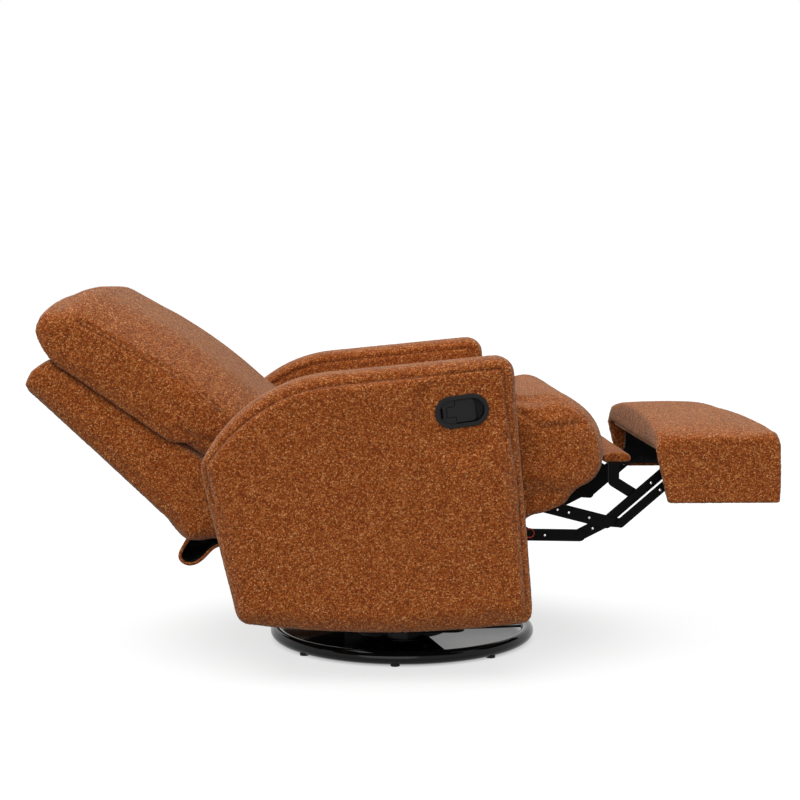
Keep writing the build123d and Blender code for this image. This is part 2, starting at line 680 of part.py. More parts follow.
def make_seat():
    def profile_at(share):
        return seat_profile(seat_bottom_z + (seat_crown_z - seat_bottom_z) * share,
                            seat_nose_x - seat_nose_draw * (1 - share))
    save("seat_cushion", cushion_loft(profile_at, seat_half_width, seat_crown_shares))

    side_top_z = seat_bottom_z - soft_gap
    side = outline((side_panel_rear_x, side_top_z), (side_panel_rear_x, side_panel_bottom_z),
                   (side_panel_toe_x, side_panel_bottom_z), *side_panel_slope,
                   (side_panel_slope[-1][0], side_top_z))
    save_pair("seat_side", slab(side, side_panel_y, side_panel_outer_y))

    rear_rail = Pos(side_panel_rear_x, 0, side_panel_bottom_z) * Box(
        seat_rail_thickness, 2 * side_panel_y, seat_bottom_z - soft_gap - side_panel_bottom_z,
        align=(Align.MIN, Align.CENTER, Align.MIN))
    save("seat_rail_rear", rear_rail)
    front_rail = Pos(seat_front_rail_x, 0, seat_bottom_z - soft_gap) * Box(
        seat_rail_thickness, 2 * side_panel_y, seat_front_rail_height,
        align=(Align.MIN, Align.CENTER, Align.MAX))
    save("seat_rail_front", front_rail)

    save("seat_springs", *[Pos(0, y, 0) * seat_spring() for y in spring_places()])

    block = Pos(0, guide_rod_y, side_panel_bottom_z) * Box(
        slider_length, slider_width, side_panel_bottom_z - guide_rod_z + slider_width / 2,
        align=(Align.CENTER, Align.CENTER, Align.MAX))
    block -= Pos(0, guide_rod_y, guide_rod_z) * Rot(0, 90, 0) * Cylinder(
        guide_rod_radius + running_gap, 2 * slider_length)
    save_both("seat_sliders", block)

    mechanism_rail = Pos(upper_rear_pivot[0] + mechanism_rail_overhang, mechanism_rail_y,
                         upper_rear_pivot[1] - mechanism_rail_drop) * Box(
        mechanism_rail_length, mechanism_rail_thickness,
        side_top_z - upper_rear_pivot[1] + mechanism_rail_drop,
        align=(Align.MAX, Align.MIN, Align.MIN))
    save_both("mechanism_rails", mechanism_rail)

    plate = make_hull(
        disc(upper_rear_pivot, rear_bar_width / 2).edges()
        + disc(lower_rear_pivot, rear_bar_width / 2).edges()
        + disc(plus(upper_rear_pivot, mount_plate_tail), rear_bar_width / 2).edges())
    for pivot in (upper_rear_pivot, lower_rear_pivot):
        plate -= disc(pivot, link_pin_radius)
    save_both("mount_plates", slab(plate, mount_plate_y, mechanism_rail_y))

    save_both("mount_pins", *[
        link_pin(pivot, rear_layer_y - bar_sheet / 2 - running_gap, mechanism_rail_y, False)
        for pivot in (upper_rear_pivot, lower_rear_pivot)])

    radius = hinge_plate_end_radius
    bracket = make_hull(
        disc(hinge_point, radius).edges()
        + disc((side_panel_rear_x + radius, seat_bottom_z - soft_gap - radius), radius).edges()
        + disc((side_panel_rear_x + radius, side_panel_bottom_z + radius), radius).edges())
    bracket -= disc(hinge_point, hinge_pin_radius)
    save_both("seat_hinge_plates",
              slab(bracket, seat_hinge_plate_y, seat_hinge_plate_y + hinge_plate_sheet))
    pin = headed_pin(hinge_point, hinge_pin_radius, hinge_pin_head_radius, hinge_pin_head_height,
                     back_hinge_plate_y - running_gap, seat_hinge_plate_y + hinge_plate_sheet)
    save_both("hinge_pins", pin)


# ---------------------------------------------------------------- back

def back_cushion_profile(fullness):
    """The back cushion's side view, drawn as (distance down the shell, height above it)."""
    run = hypot(back_shell_throat[0] - back_shell_front_top[0],
                back_shell_throat[1] - back_shell_front_top[1])
    slope = degrees(atan2(back_shell_throat[1] - back_shell_front_top[1],
                          back_shell_throat[0] - back_shell_front_top[0]))
    rises = [max(soft_gap, back_crown * fullness * share) for share in back_rise_shares]
    draw = back_head_draw * (1 - fullness)
    runs = [reach + draw if reach < 0 else reach for reach in back_cushion_runs]
    places = list(zip(runs, rises))
    drawn = list(zip(places[0::2], places[1::2]))
    drawn.append(((run - back_cushion_foot_inset, soft_gap), None))

    def placed(point):
        return None if point is None else plus(back_shell_front_top, turned(point, slope))
    return [(placed(point), placed(bulge)) for point, bulge in drawn]


def make_back():
    shell = make_face([
        Line(back_shell_heel, back_shell_sole), Line(back_shell_sole, back_shell_throat),
        Line(back_shell_throat, back_shell_front_top), Line(back_shell_front_top, back_shell_peak),
        Line(back_shell_peak, back_shell_rear_top), Line(back_shell_rear_top, back_shell_heel)])
    shell = slab(shell, -back_shell_half_width, back_shell_half_width)
    save("back_shell", shell)

    plate = make_hull(
        disc(hinge_point, hinge_plate_end_radius).edges()
        + disc(back_plate_head, hinge_plate_end_radius).edges()
        + disc(back_plate_foot, hinge_plate_end_radius).edges())
    plate -= disc(hinge_point, hinge_pin_radius + running_gap)
    save_both("back_hinge_plates",
              slab(plate, back_hinge_plate_y, back_hinge_plate_y + hinge_plate_sheet))

    save("back_cushion",
         cushion_loft(back_cushion_profile, back_cushion_half_width, back_crown_shares))

    path = [plus(back_shell_heel, (flap_seam_inset, 0)), *flap_route]
    cloth = None
    for start, end in zip(path, path[1:]):
        piece = strip(start, end, flap_cloth)
        cloth = piece if cloth is None else cloth + piece
    save("rear_flap", slab(cloth, -flap_half_width, flap_half_width) - shell)


# ---------------------------------------------------------------- footrest linkage

def link_pin(centre, y_low, y_high, outer_head=True):
    """A riveted pin whose shank runs from y_low to y_high."""
    pin = rod(centre, link_pin_radius, y_low, y_high)
    pin += rod(centre, link_head_radius, y_low - link_head_height, y_low)
    if outer_head:
        pin += rod(centre, link_head_radius, y_high, y_high + link_head_height)
    return pin


def rivet(centre, layer_y):
    """A plain rivet through one bar."""
    half = bar_sheet / 2
    body = rod(centre, rivet_radius, layer_y - half, layer_y + half)
    body += rod(centre, rivet_head_radius, layer_y - half - rivet_head_height, layer_y - half)
    return body + rod(centre, rivet_head_radius, layer_y + half, layer_y + half + rivet_head_height)


def save_bar(name, face, layer_y, fixed_holes, running_holes, rivets=()):
    for hole in fixed_holes:
        face -= disc(hole, link_pin_radius)
    for hole in running_holes:
        face -= disc(hole, link_pin_radius + running_gap)
    for hole in rivets:
        face -= disc(hole, rivet_radius)
    save_pair(name, slab(face, layer_y - bar_sheet / 2, layer_y + bar_sheet / 2))


def make_linkage():
    half = bar_sheet / 2
    upper_rear = strip(upper_rear_pivot, crossing_pivot, rear_bar_width) + strip(
        crossing_pivot, lug_pivot, lug_width)
    upper_rear_rivets = [between(upper_rear_pivot, crossing_pivot, share)
                         for share in upper_rear_rivet_shares]
    save_bar("upper_rear_bar", upper_rear, rear_layer_y, (crossing_pivot, lug_pivot),
             (upper_rear_pivot,), upper_rear_rivets)
    lower_rear = strip(lower_rear_pivot, lower_rear_bend, lower_rear_bar_width) + strip(
        lower_rear_bend, tail_pivot, lower_rear_bar_width)
    lower_rear_rivets = [between(lower_rear_bend, tail_pivot, lower_rear_rivet_share)]
    save_bar("lower_rear_bar", lower_rear, rear_layer_y,
             (tail_pivot,), (lower_rear_pivot,), lower_rear_rivets)
    upper_front = strip(tail_pivot, crossing_pivot, tail_width) + strip(
        crossing_pivot, ottoman_pivot, front_bar_width)
    upper_front_rivets = [between(tail_pivot, crossing_pivot, upper_front_tail_rivet_share),
                          between(crossing_pivot, ottoman_pivot, upper_front_rivet_share)]
    save_bar("upper_front_bar", upper_front, front_layer_y, (flipper_pivot, ottoman_pivot),
             (tail_pivot, crossing_pivot), upper_front_rivets)
    lower_front_rivets = [between(lug_pivot, ottoman_lower_pivot, lower_front_rivet_share)]
    lower_front = strip(lug_pivot, ottoman_lower_pivot, lower_front_bar_width)
    save_bar("lower_front_bar", lower_front, outer_layer_y,
             (ottoman_lower_pivot,), (lug_pivot,), lower_front_rivets)

    save_both("upper_rear_bar_pins",
              link_pin(crossing_pivot, front_layer_y - half - running_gap, rear_layer_y + half),
              link_pin(lug_pivot, rear_layer_y - half, outer_layer_y + half + running_gap),
              *[rivet(place, rear_layer_y) for place in upper_rear_rivets])
    save_both("lower_rear_bar_pins",
              link_pin(tail_pivot, front_layer_y - half - running_gap, rear_layer_y + half),
              *[rivet(place, rear_layer_y) for place in lower_rear_rivets])
    save_both("upper_front_bar_pins",
              link_pin(ottoman_pivot, front_layer_y - half, rear_layer_y + half + running_gap),
              link_pin(flipper_pivot, flipper_layer_y - half - running_gap, front_layer_y + half),
              *[rivet(place, front_layer_y) for place in upper_front_rivets])
    save_both("lower_front_bar_pins",
              link_pin(ottoman_lower_pivot, rear_layer_y - half - running_gap,
                       outer_layer_y + half),
              *[rivet(place, outer_layer_y) for place in lower_front_rivets])

    # The square tube that joins the two upper rear bars, so that both sides fold together.
    tube_half_length = rear_layer_y - half
    tube_centre = between(upper_rear_pivot, crossing_pivot, drive_tube_share)
    turn = -degrees(atan2(crank[1], crank[0]))
    tube = Box(drive_tube_side, 2 * tube_half_length, drive_tube_side)
    bore_side = drive_tube_side - 2 * drive_tube_wall
    tube -= Box(bore_side, 2 * tube_half_length, bore_side)
    save("drive_tube", Pos(tube_centre[0], 0, tube_centre[1]) * Rot(0, turn, 0) * tube)


def make_ottoman():
    inner_top = ottoman_board_z + ottoman_board_sheet
    middle_x = (ottoman_front_x + ottoman_rear_top_x) / 2

    def profile_at(share):
        edge_z = ottoman_edge_z + (share - 1) * (ottoman_crown_z - ottoman_bottom_z)
        front_run, front_drop = ottoman_front_corner
        rear_run, rear_drop = ottoman_rear_corner
        return [
            ((ottoman_rear_foot_x, ottoman_bottom_z), None),
            ((ottoman_front_x, ottoman_bottom_z),
             (ottoman_front_x + ottoman_front_bow, (ottoman_bottom_z + ottoman_edge_z) / 2)),
            ((ottoman_front_x, edge_z - front_drop),
             (ottoman_front_x - ottoman_front_bulge[0], edge_z - ottoman_front_bulge[1])),
            ((ottoman_front_x - front_run, edge_z), (middle_x, edge_z + ottoman_top_bow)),
            ((ottoman_rear_top_x + rear_run, edge_z),
             (ottoman_rear_top_x + ottoman_rear_bulge[0], edge_z - ottoman_rear_bulge[1])),
            ((ottoman_rear_top_x, edge_z - rear_drop), None),
        ]
    pad = cushion_loft(profile_at, ottoman_half_width, ottoman_crown_shares)
    hollow_y = ottoman_half_width - ottoman_wall
    hollow_front_x = ottoman_front_x - ottoman_wall
    hollow = Pos(hollow_front_x, 0, inner_top) * Box(
        2 * (hollow_front_x - ottoman_rear_top_x), 2 * hollow_y, 2 * (inner_top - ottoman_bottom_z),
        align=(Align.MAX, Align.CENTER, Align.MAX))
    save("ottoman_cover", pad - hollow)

    board_rear_x = ottoman_rear_top_x + ottoman_board_inset
    board = Pos(board_rear_x, 0, ottoman_board_z) * Box(
        ottoman_front_x - ottoman_wall - board_rear_x, 2 * hollow_y, ottoman_board_sheet,
        align=(Align.MIN, Align.CENTER, Align.MIN))
    save("ottoman_board", board)

    rear_x = ottoman_pivot[0] - ottoman_bracket_rear
    front_x = rear_x + ottoman_bracket_length
    lip_z = ottoman_board_z - ottoman_bracket_lip
    web = make_hull(
        disc(ottoman_pivot, ottoman_bracket_end).edges()
        + disc(ottoman_lower_pivot, ottoman_bracket_end).edges()
        + disc(plus(ottoman_pivot, ottoman_bracket_toe), ottoman_bracket_end).edges()
        + outline((rear_x, lip_z), (front_x, lip_z),
                  (front_x, ottoman_board_z), (rear_x, ottoman_board_z)).edges())
    for hole in (ottoman_pivot, ottoman_lower_pivot):
        web -= disc(hole, link_pin_radius + running_gap)
    web_solid = slab(web, rear_layer_y - bar_sheet / 2, rear_layer_y + bar_sheet / 2)
    flange = Pos(ottoman_pivot[0] + ottoman_flange_start, rear_layer_y + bar_sheet / 2,
                 ottoman_board_z) * Box(
        ottoman_flange_length, ottoman_flange_width, bracket_flange_sheet,
        align=(Align.MIN, Align.MIN, Align.MAX))
    save_both("ottoman_brackets", web_solid + flange)


def make_flipper():
    edge_z = flipper_bottom_z + flipper_thickness - flipper_edge_drop
    middle_x = (flipper_front_x + flipper_rear_x) / 2
    face = make_face([
        Line((flipper_rear_x, flipper_bottom_z), (flipper_front_x, flipper_bottom_z)),
        Line((flipper_front_x, flipper_bottom_z), (flipper_front_x, edge_z)),
        ThreePointArc((flipper_front_x, edge_z), (middle_x, edge_z + flipper_edge_drop
                                                  + flipper_crown_rise), (flipper_rear_x, edge_z)),
        Line((flipper_rear_x, edge_z), (flipper_rear_x, flipper_bottom_z))])
    save("flipper_board", slab(face, -flipper_half_width, flipper_half_width))

    half = bar_sheet / 2
    half_arm = flipper_arm_width / 2
    tab_rear_x = flipper_elbow[0] - half_arm
    arm = strip(flipper_pivot, flipper_elbow, flipper_arm_width)
    arm += outline((tab_rear_x, flipper_elbow[1]), (tab_rear_x + flipper_arm_width, flipper_elbow[1]),
                   (tab_rear_x + flipper_arm_width, flipper_bottom_z), (tab_rear_x, flipper_bottom_z))
    arm -= disc(flipper_pivot, link_pin_radius + running_gap)
    web = slab(arm, flipper_layer_y - half, flipper_layer_y + half)
    tab_inner_y = flipper_half_width - flipper_tab_reach
    tab = Pos(tab_rear_x, tab_inner_y, flipper_bottom_z) * Box(
        flipper_tab_length, flipper_layer_y + half - tab_inner_y, bracket_flange_sheet,
        align=(Align.MIN, Align.MIN, Align.MAX))
    save_both("flipper_brackets", web + tab)


make_base()
make_carriage()
make_glide_links()
make_chassis()
make_arms()
make_latch()
make_seat()
make_back()
make_linkage()
make_ottoman()
make_flipper()
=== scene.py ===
import json
import math

import bmesh
import bpy
import numpy as np
from mathutils import Matrix, Vector
from mathutils.bvhtree import BVHTree
from mathutils.kdtree import KDTree


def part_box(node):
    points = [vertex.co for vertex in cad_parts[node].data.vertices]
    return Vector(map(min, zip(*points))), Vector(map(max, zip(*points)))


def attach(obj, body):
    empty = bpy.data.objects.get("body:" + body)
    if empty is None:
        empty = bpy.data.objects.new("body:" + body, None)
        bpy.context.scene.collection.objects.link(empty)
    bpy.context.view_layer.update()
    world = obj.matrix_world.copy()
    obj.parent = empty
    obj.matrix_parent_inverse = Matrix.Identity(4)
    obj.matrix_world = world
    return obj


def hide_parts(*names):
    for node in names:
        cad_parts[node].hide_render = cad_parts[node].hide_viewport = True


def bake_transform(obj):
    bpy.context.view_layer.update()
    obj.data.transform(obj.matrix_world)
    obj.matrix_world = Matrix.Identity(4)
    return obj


# Looks of the swivel glider recliner, in metres, in the same frame as the construction:
# +X is where the chair faces, +Z is up, and the sitter's right arm is nearest the camera.

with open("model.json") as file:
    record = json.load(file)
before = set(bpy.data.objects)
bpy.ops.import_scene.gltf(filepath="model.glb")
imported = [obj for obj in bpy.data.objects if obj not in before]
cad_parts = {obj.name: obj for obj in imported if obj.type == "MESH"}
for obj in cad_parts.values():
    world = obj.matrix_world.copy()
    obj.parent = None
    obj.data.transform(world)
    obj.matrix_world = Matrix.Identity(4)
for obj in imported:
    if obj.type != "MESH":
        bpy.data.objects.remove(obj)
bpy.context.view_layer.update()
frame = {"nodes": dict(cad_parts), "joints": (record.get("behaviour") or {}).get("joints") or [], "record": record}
nodes = frame["nodes"]

# ---------------------------------------------------------------- sizes

# A pair of numbers given to smooth_step is where a change starts and where it is complete.

voxel = 0.006             # mesh spacing of padded pieces before their last subdivision
ottoman_voxel = 0.005
flipper_voxel = 0.004
sim_frames = 12
sim_pressure = 4.0
merge_distance = 0.00001
loop_height = 0.0005      # the yarn loops stand this far above and below the cloth
cast_distance = 0.3       # rays onto a side start this far outside it
row_step = 0.006          # spacing of the places along a seam or crease
sew_step = 0.002          # finer spacing, from which the distance to a seam is measured
sew_reach = 0.03          # points further than this outside a seam's box stay as they are
seam_depth = 0.0028
seam_width = 0.0036
seam_painted_shade = 0.80          # darkness of the painted shade in a seam's groove
stitch_length = 0.0055
stitch_gap = 0.0014
stitch_radius = 0.0010

arm_cap = 0.006           # how far the blown-up cloth may stand from the solid
seat_cap = 0.005
shell_cap = 0.003
pillow_cap = 0.005

outer_arm_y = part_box("arm_left")[1].y
inner_arm_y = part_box("arm_left")[0].y
arm_width = outer_arm_y - inner_arm_y
arm_middle_y = (inner_arm_y + outer_arm_y) / 2
arm_inner_gap = 0.0005    # the arm's inner cloth stays this far behind the solid's inner face
outline_step = 0.004
arm_seam_inset = 0.020    # edge of the arm to its seam, at the top and low down
arm_seam_low_inset = 0.008
arm_seam_rise = (0.360, 0.530)      # heights between which the inset grows
arm_seam_slack = 0.0012   # seam points nearer to the edge than the inset less this are dropped
arm_seam_foot_z = 0.1205  # the seam's front end. Behind arm_seam_front_x it ends at arm_seam_rear_z
arm_seam_rear_z = 0.33
arm_seam_front_x = 0.19
arm_lower_swell = 0.004   # padding on the lower front and rear edges
swell_heights = (0.480, 0.200)
swell_front = (0.150, 0.190)
swell_rear = (-0.180, -0.250)
sole_drop = 0.003
sole_heights = (0.160, 0.100)

latch_centre = (0.093, 0.4975)
latch_tilt = math.radians(8.0)
latch_reach = 0.075       # cloth nearer to the latch than this isn't blown up
latch_pocket = (0.0435, 0.024)      # half length and half height
pocket_gap = 0.0008       # cloth to the latch cup
pocket_wall = 0.011       # how far inside the pocket's outline its wall is still looked for
pocket_floor_y = -0.3585

seat_held_z = 0.3405      # the seat's bottom edge is held while it is blown up
seat_arm_gap = 0.0015
seat_settle = 0.008       # how far the cushion has sunk at its front, and how much more behind its nose
seat_nose_settle = 0.018
seat_nose = (0.300, 0.225)
seat_settle_front = (-0.150, 0.180)
seat_settle_heights = (0.440, 0.530)
seat_crease = ((0.208, 0.4895), (0.246, 0.4575), (0.283, 0.4595), (0.320, 0.4655))
seat_crease_sewn = (0.0035, 0.006, 0.25)        # depth, width and darkness of the painted shade in the crease

# The back is measured from shell_top: down along shell_run and out along shell_normal.
shell_top = np.array((-0.652, 0.5905))        # front top edge of the back shell, in (x, z)
shell_run = np.array((0.8186, -0.5744))       # down its front face
shell_normal = np.array((0.5744, 0.8186))
shell_padding = 0.009     # padding on the shell's rear face, whose normal is shell_rear_normal
shell_rear_normal = np.array((0.70, 0.714))
shell_padding_depths = (-0.010, -0.040)
shell_low_drop = 0.006
shell_low_heights = (0.290, 0.262)
shell_side = (0.262, 0.270)

pillow_cast_y = 0.33      # outside the pillow's sides
pillow_head = (0.120, -0.060)
pillow_head_length = 0.80           # share of its length that the head above the shell keeps
pillow_head_sink = 0.012
pillow_head_heights = (0.030, 0.120)
pillow_slump = 0.15       # share of its height that the pillow loses below its head
pillow_slump_run = (-0.100, 0.100)
pillow_side = (0.225, 0.268)
pillow_bulge = 0.006      # how far the sides stand out between the arms, and how much more above them
pillow_free_bulge = 0.014
belly_rise = (-0.010, 0.035)        # the sides stand out most between these heights over the shell
belly_fall = (0.150, 0.070)
arm_clearance = (0.345, 0.255)
pillow_hanging_side = (0.2765, 0.2800)
side_droop = 0.030
droop_heights = (0.075, 0.010)
droop_run = (-0.09, 0.02)
pillow_seam = ((-0.604, 0.6535), (-0.537, 0.6155), (-0.456, 0.5685), (-0.410, 0.5435), (-0.374, 0.5095),
               (-0.337, 0.4785))
pillow_seam_gaps = (0.0, 0.007)     # two rows
# depth, width and darkness of the painted shade, for the two seam rows and, below, for the fold
pillow_seam_sewn = (0.0026, 0.0026, 0.80)
pillow_fold = ((-0.4185, 0.4561), (-0.3929, 0.4374), (-0.3636, 0.4318))
pillow_fold_sewn = (0.004, 0.007, 0.25)
# Painted shadow on the shell's sides under the cushion's hanging edge.
painted_shadow_steps = (-0.06, 0.36, 0.01)   # start, end and step down the shell where the pillow's edge is read
painted_shadow_reach = (0.011, 0.001)        # distances below that edge at which the painted shadow starts and is full
painted_shadow_darkness = 0.85

flap_half_width = 0.236
flap_route = ((-0.398, 0.2530), (-0.4104, 0.2436), (-0.4216, 0.2276), (-0.4287, 0.2151), (-0.4304, 0.2063),
              (-0.4250, 0.1990), (-0.4164, 0.1940), (-0.4070, 0.1930), (-0.3968, 0.1965), (-0.3873, 0.2035),
              (-0.3795, 0.2107), (-0.3715, 0.2210), (-0.3635, 0.2273), (-0.3560, 0.2305), (-0.300, 0.2440),
              (-0.243, 0.2500))
flap_steps = 64
flap_stations = 40
flap_rounding = 6
flap_thickness = 0.0062
flap_sag = 0.004
flap_waves = 23.0         # radians of its waves in a metre of width
flap_wave_start = 3.857

squareness = 6            # exponent in the outline of the ottoman's top corners
# Per corner: x of the edge, the corner's height and length, and which way it faces.
ottoman_corners = ((0.701, 0.021, 0.024, 1.0), (0.465, 0.016, 0.018, -1.0))
ottoman_top_edge = ([0.0, 0.171, 0.2565, 0.285], [0.4345, 0.43381, 0.43105, 0.42208])   # y, and z there
ottoman_top_heights = (0.416, 0.430)
ottoman_crown = 0.026
ottoman_front_flat = 0.75           # share of the crown that is gone at the front edge
ottoman_front_run = (0.610, 0.700)
ottoman_bow = 0.011       # how far the front and rear edges stand above the middle
ottoman_bow_reach = 0.100
ottoman_low_drop = 0.002
ottoman_low_heights = (0.360, 0.330)
ottoman_corner_lift = 0.009         # at the front top corners
lifted_side = (0.245, 0.280)
lifted_front = (0.630, 0.690)
lifted_heights = (0.390, 0.418)
lining_inset = 0.010      # outside of the ottoman to its lining
lining_top = 0.414
bottom_hem = 0.006        # widths of the cloth's turned edges
rear_hem = 0.045
rear_hem_z = 0.35         # the rear edge is turned only above this

rear_layer = 0.194        # y of each layer of bars
inner_layer = 0.188
outer_layer = 0.200
bar_bend = (-0.0995, 0.0, 0.002)    # tail pivot to the bend of the lower rear bar
rivet_face = 0.0031       # middle of a bar to its rivets' outer faces
rivet_radius = 0.0025
rivet_height = 0.0008
washer_place = (0.2384, 0.1972, 0.2430)
washer_radius = 0.0085    # to the middle of its wire
washer_wire = 0.0013


# ---------------------------------------------------------------- shader maths

class Wire:
    """A number socket that takes part in Python sums."""

    def __init__(self, finish, socket):
        self.finish = finish
        self.socket = socket

    def __add__(self, other):
        return self.finish.maths("ADD", self, other)

    def __sub__(self, other):
        return self.finish.maths("SUBTRACT", self, other)

    def __rsub__(self, other):
        return self.finish.maths("SUBTRACT", other, self)

    def __mul__(self, other):
        return self.finish.maths("MULTIPLY", self, other)

    def ramp(self, low, high):
        """0 below low, 1 above high, smooth between."""
        made = self.finish.node("ShaderNodeMapRange", {"interpolation_type": "SMOOTHSTEP"},
                                {"Value": self, "From Min": low, "From Max": high})
        return Wire(self.finish, made.outputs["Result"])


class Finish:
    """A material under construction."""

    def __init__(self, name):
        self.material = bpy.data.materials.new(name)
        self.material.use_nodes = True
        self.tree = self.material.node_tree
        self.tree.nodes.clear()
        self.place = self.node("ShaderNodeTexCoord").outputs["Object"]

    def node(self, kind, settings=None, inputs=None):
        made = self.tree.nodes.new(kind)
        for key, value in (settings or {}).items():
            if key == "stops":
                while len(made.color_ramp.elements) < len(value):
                    made.color_ramp.elements.new(0.5)
                for element, (position, colour) in zip(made.color_ramp.elements, value):
                    element.position = position
                    element.color = (*colour, 1.0)
            else:
                setattr(made, key, value)
        for key, value in (inputs or {}).items():
            if isinstance(value, Wire):
                value = value.socket
            if isinstance(value, bpy.types.NodeSocket):
                self.tree.links.new(value, made.inputs[key])
            else:
                made.inputs[key].default_value = value
        return made

    def maths(self, operation, *values):
        made = self.node("ShaderNodeMath", {"operation": operation}, dict(enumerate(values)))
        return Wire(self, made.outputs[0])

    def noise(self, scale, detail=2.0, place=None):
        made = self.node("ShaderNodeTexNoise", inputs={
            "Vector": place or self.place, "Scale": scale, "Detail": detail})
        return Wire(self, made.outputs["Fac"])

    def stretched(self, x, y, z):
        """Object coordinates scaled along each axis."""
        return self.node("ShaderNodeMapping", inputs={
            "Vector": self.place, "Scale": (x, y, z)}).outputs["Vector"]

    def mix(self, share, first, second):
        """Blends two colours. Sockets 6, 7 and output 2 are the colour ones."""
        made = self.node("ShaderNodeMix", {"data_type": "RGBA"}, {"Factor": share, 6: first, 7: second})
        return made.outputs[2]

    def ramp_colour(self, value, stops):
        return self.node("ShaderNodeValToRGB", {"stops": stops}, {"Fac": value}).outputs["Color"]

    def bump(self, height, distance, strength):
        return self.node("ShaderNodeBump", inputs={
            "Height": height, "Distance": distance, "Strength": strength}).outputs["Normal"]

    def done(self, **sockets):
        """Ends the material in one shader, whose sockets are named with _ for a space."""
        inputs = {key.replace("_", " "): value for key, value in sockets.items()}
        surface = self.node("ShaderNodeBsdfPrincipled", inputs=inputs)
        self.node("ShaderNodeOutputMaterial", inputs={"Surface": surface.outputs["BSDF"]})
        return self.material


# ---------------------------------------------------------------- finishes

def rust_boucle():
    """Looped rust yarn with pale and dark flecks. Shade is painted into the pits between the loops, and where the
    attribute "seam" holds it: along seams, creases and folds, and below the back cushion's edge.
    """
    loops_per_metre = 380.0
    loop_wander = 0.0045
    finish = Finish("rust_boucle")
    drift = finish.node("ShaderNodeTexNoise", inputs={"Vector": finish.place, "Scale": 210.0, "Detail": 2.0})
    wander = finish.node("ShaderNodeVectorMath", {"operation": "MULTIPLY_ADD"}, {
        0: drift.outputs["Color"], 1: (loop_wander,) * 3, 2: finish.place}).outputs["Vector"]
    loops = finish.node("ShaderNodeTexVoronoi", {"feature": "F1"}, {
        "Vector": wander, "Scale": loops_per_metre})
    near = Wire(finish, loops.outputs["Distance"])
    pick = Wire(finish, finish.node("ShaderNodeSeparateColor", inputs={
        "Color": loops.outputs["Color"]}).outputs["Red"])
    patch = finish.noise(38.0, 3.0)
    fleck = finish.noise(640.0, 1.0)
    shade = pick * 0.52 + fleck * 0.70 + patch * 0.18 - 0.19
    yarn = finish.ramp_colour(shade, [
        (0.10, (0.120, 0.018, 0.0023)), (0.34, (0.318, 0.064, 0.0083)), (0.56, (0.470, 0.122, 0.0200)),
        (0.74, (0.650, 0.230, 0.0600)), (0.90, (0.860, 0.460, 0.2050))])
    # Painted shade in the pits between the loops, far from each loop's middle, where the bump is lowest.
    painted_pit_shade = near.ramp(0.25, 0.75)
    colour = finish.mix(painted_pit_shade * 0.60, yarn, (0.085, 0.013, 0.0018, 1.0))
    # Painted shade from the attribute "seam": along seams, creases and folds, and below the back cushion's edge.
    seam = finish.node("ShaderNodeAttribute", {"attribute_name": "seam"}).outputs["Fac"]
    colour = finish.mix(Wire(finish, seam) * 0.75, colour, (0.060, 0.010, 0.0015, 1.0))
    fibre = finish.noise(1500.0, 2.0)
    height = (1.0 - near * near) + fibre * 0.35 + patch * 0.4
    return finish.done(Base_Color=colour, Roughness=0.95, Normal=finish.bump(height, 0.0018, 0.9),
                       Specular_IOR_Level=0.10, Sheen_Weight=0.34, Sheen_Roughness=0.45,
                       Sheen_Tint=(0.96, 0.90, 0.70, 1.0))


def black_lining():
    """Thin woven black lining cloth."""
    finish = Finish("black_lining")
    threads = [finish.node("ShaderNodeTexWave", {"bands_direction": way}, {
        "Vector": finish.place, "Scale": 260.0, "Distortion": 0.6}).outputs["Fac"] for way in "XYZ"]
    weave = Wire(finish, threads[0]) * Wire(finish, threads[1]) + Wire(finish, threads[2]) * 0.5
    crease = finish.noise(22.0, 3.0)
    colour = finish.mix(crease, (0.004, 0.004, 0.0045, 1.0), (0.014, 0.013, 0.013, 1.0))
    return finish.done(Base_Color=colour, Roughness=weave * 0.15 + 0.72,
                       Normal=finish.bump(weave + crease * 3.0, 0.0006, 0.5), Specular_IOR_Level=0.2)


def painted_steel(name, colour, gloss, orange_peel, shine, coat):
    """Black paint on steel, paler and duller in cloudy patches."""
    finish = Finish(name)
    cloud = finish.noise(14.0, 4.0)
    dust = finish.noise(420.0, 2.0)
    base = finish.mix(cloud.ramp(0.45, 0.8) * 0.5, (*colour, 1.0), tuple(c * 2.2 for c in colour) + (1.0,))
    peel = finish.noise(260.0, 2.0)
    return finish.done(Base_Color=base, Metallic=0.0, Roughness=cloud * gloss + dust * 0.03 + gloss,
                       Normal=finish.bump(peel, orange_peel, 0.35), Specular_IOR_Level=shine,
                       Coat_Weight=coat, Coat_Roughness=0.12)


def bare_steel():
    """Zinc plated pins, rods and springs."""
    finish = Finish("bare_steel")
    tarnish = finish.noise(60.0, 4.0)
    brush = finish.noise(1.0, 3.0, finish.stretched(900.0, 90.0, 900.0))
    colour = finish.mix(tarnish.ramp(0.4, 0.75), (0.72, 0.71, 0.69, 1.0), (0.44, 0.43, 0.40, 1.0))
    return finish.done(Base_Color=colour, Metallic=1.0, Roughness=tarnish * 0.2 + brush * 0.12 + 0.16,
                       Normal=finish.bump(brush, 0.0002, 0.3))


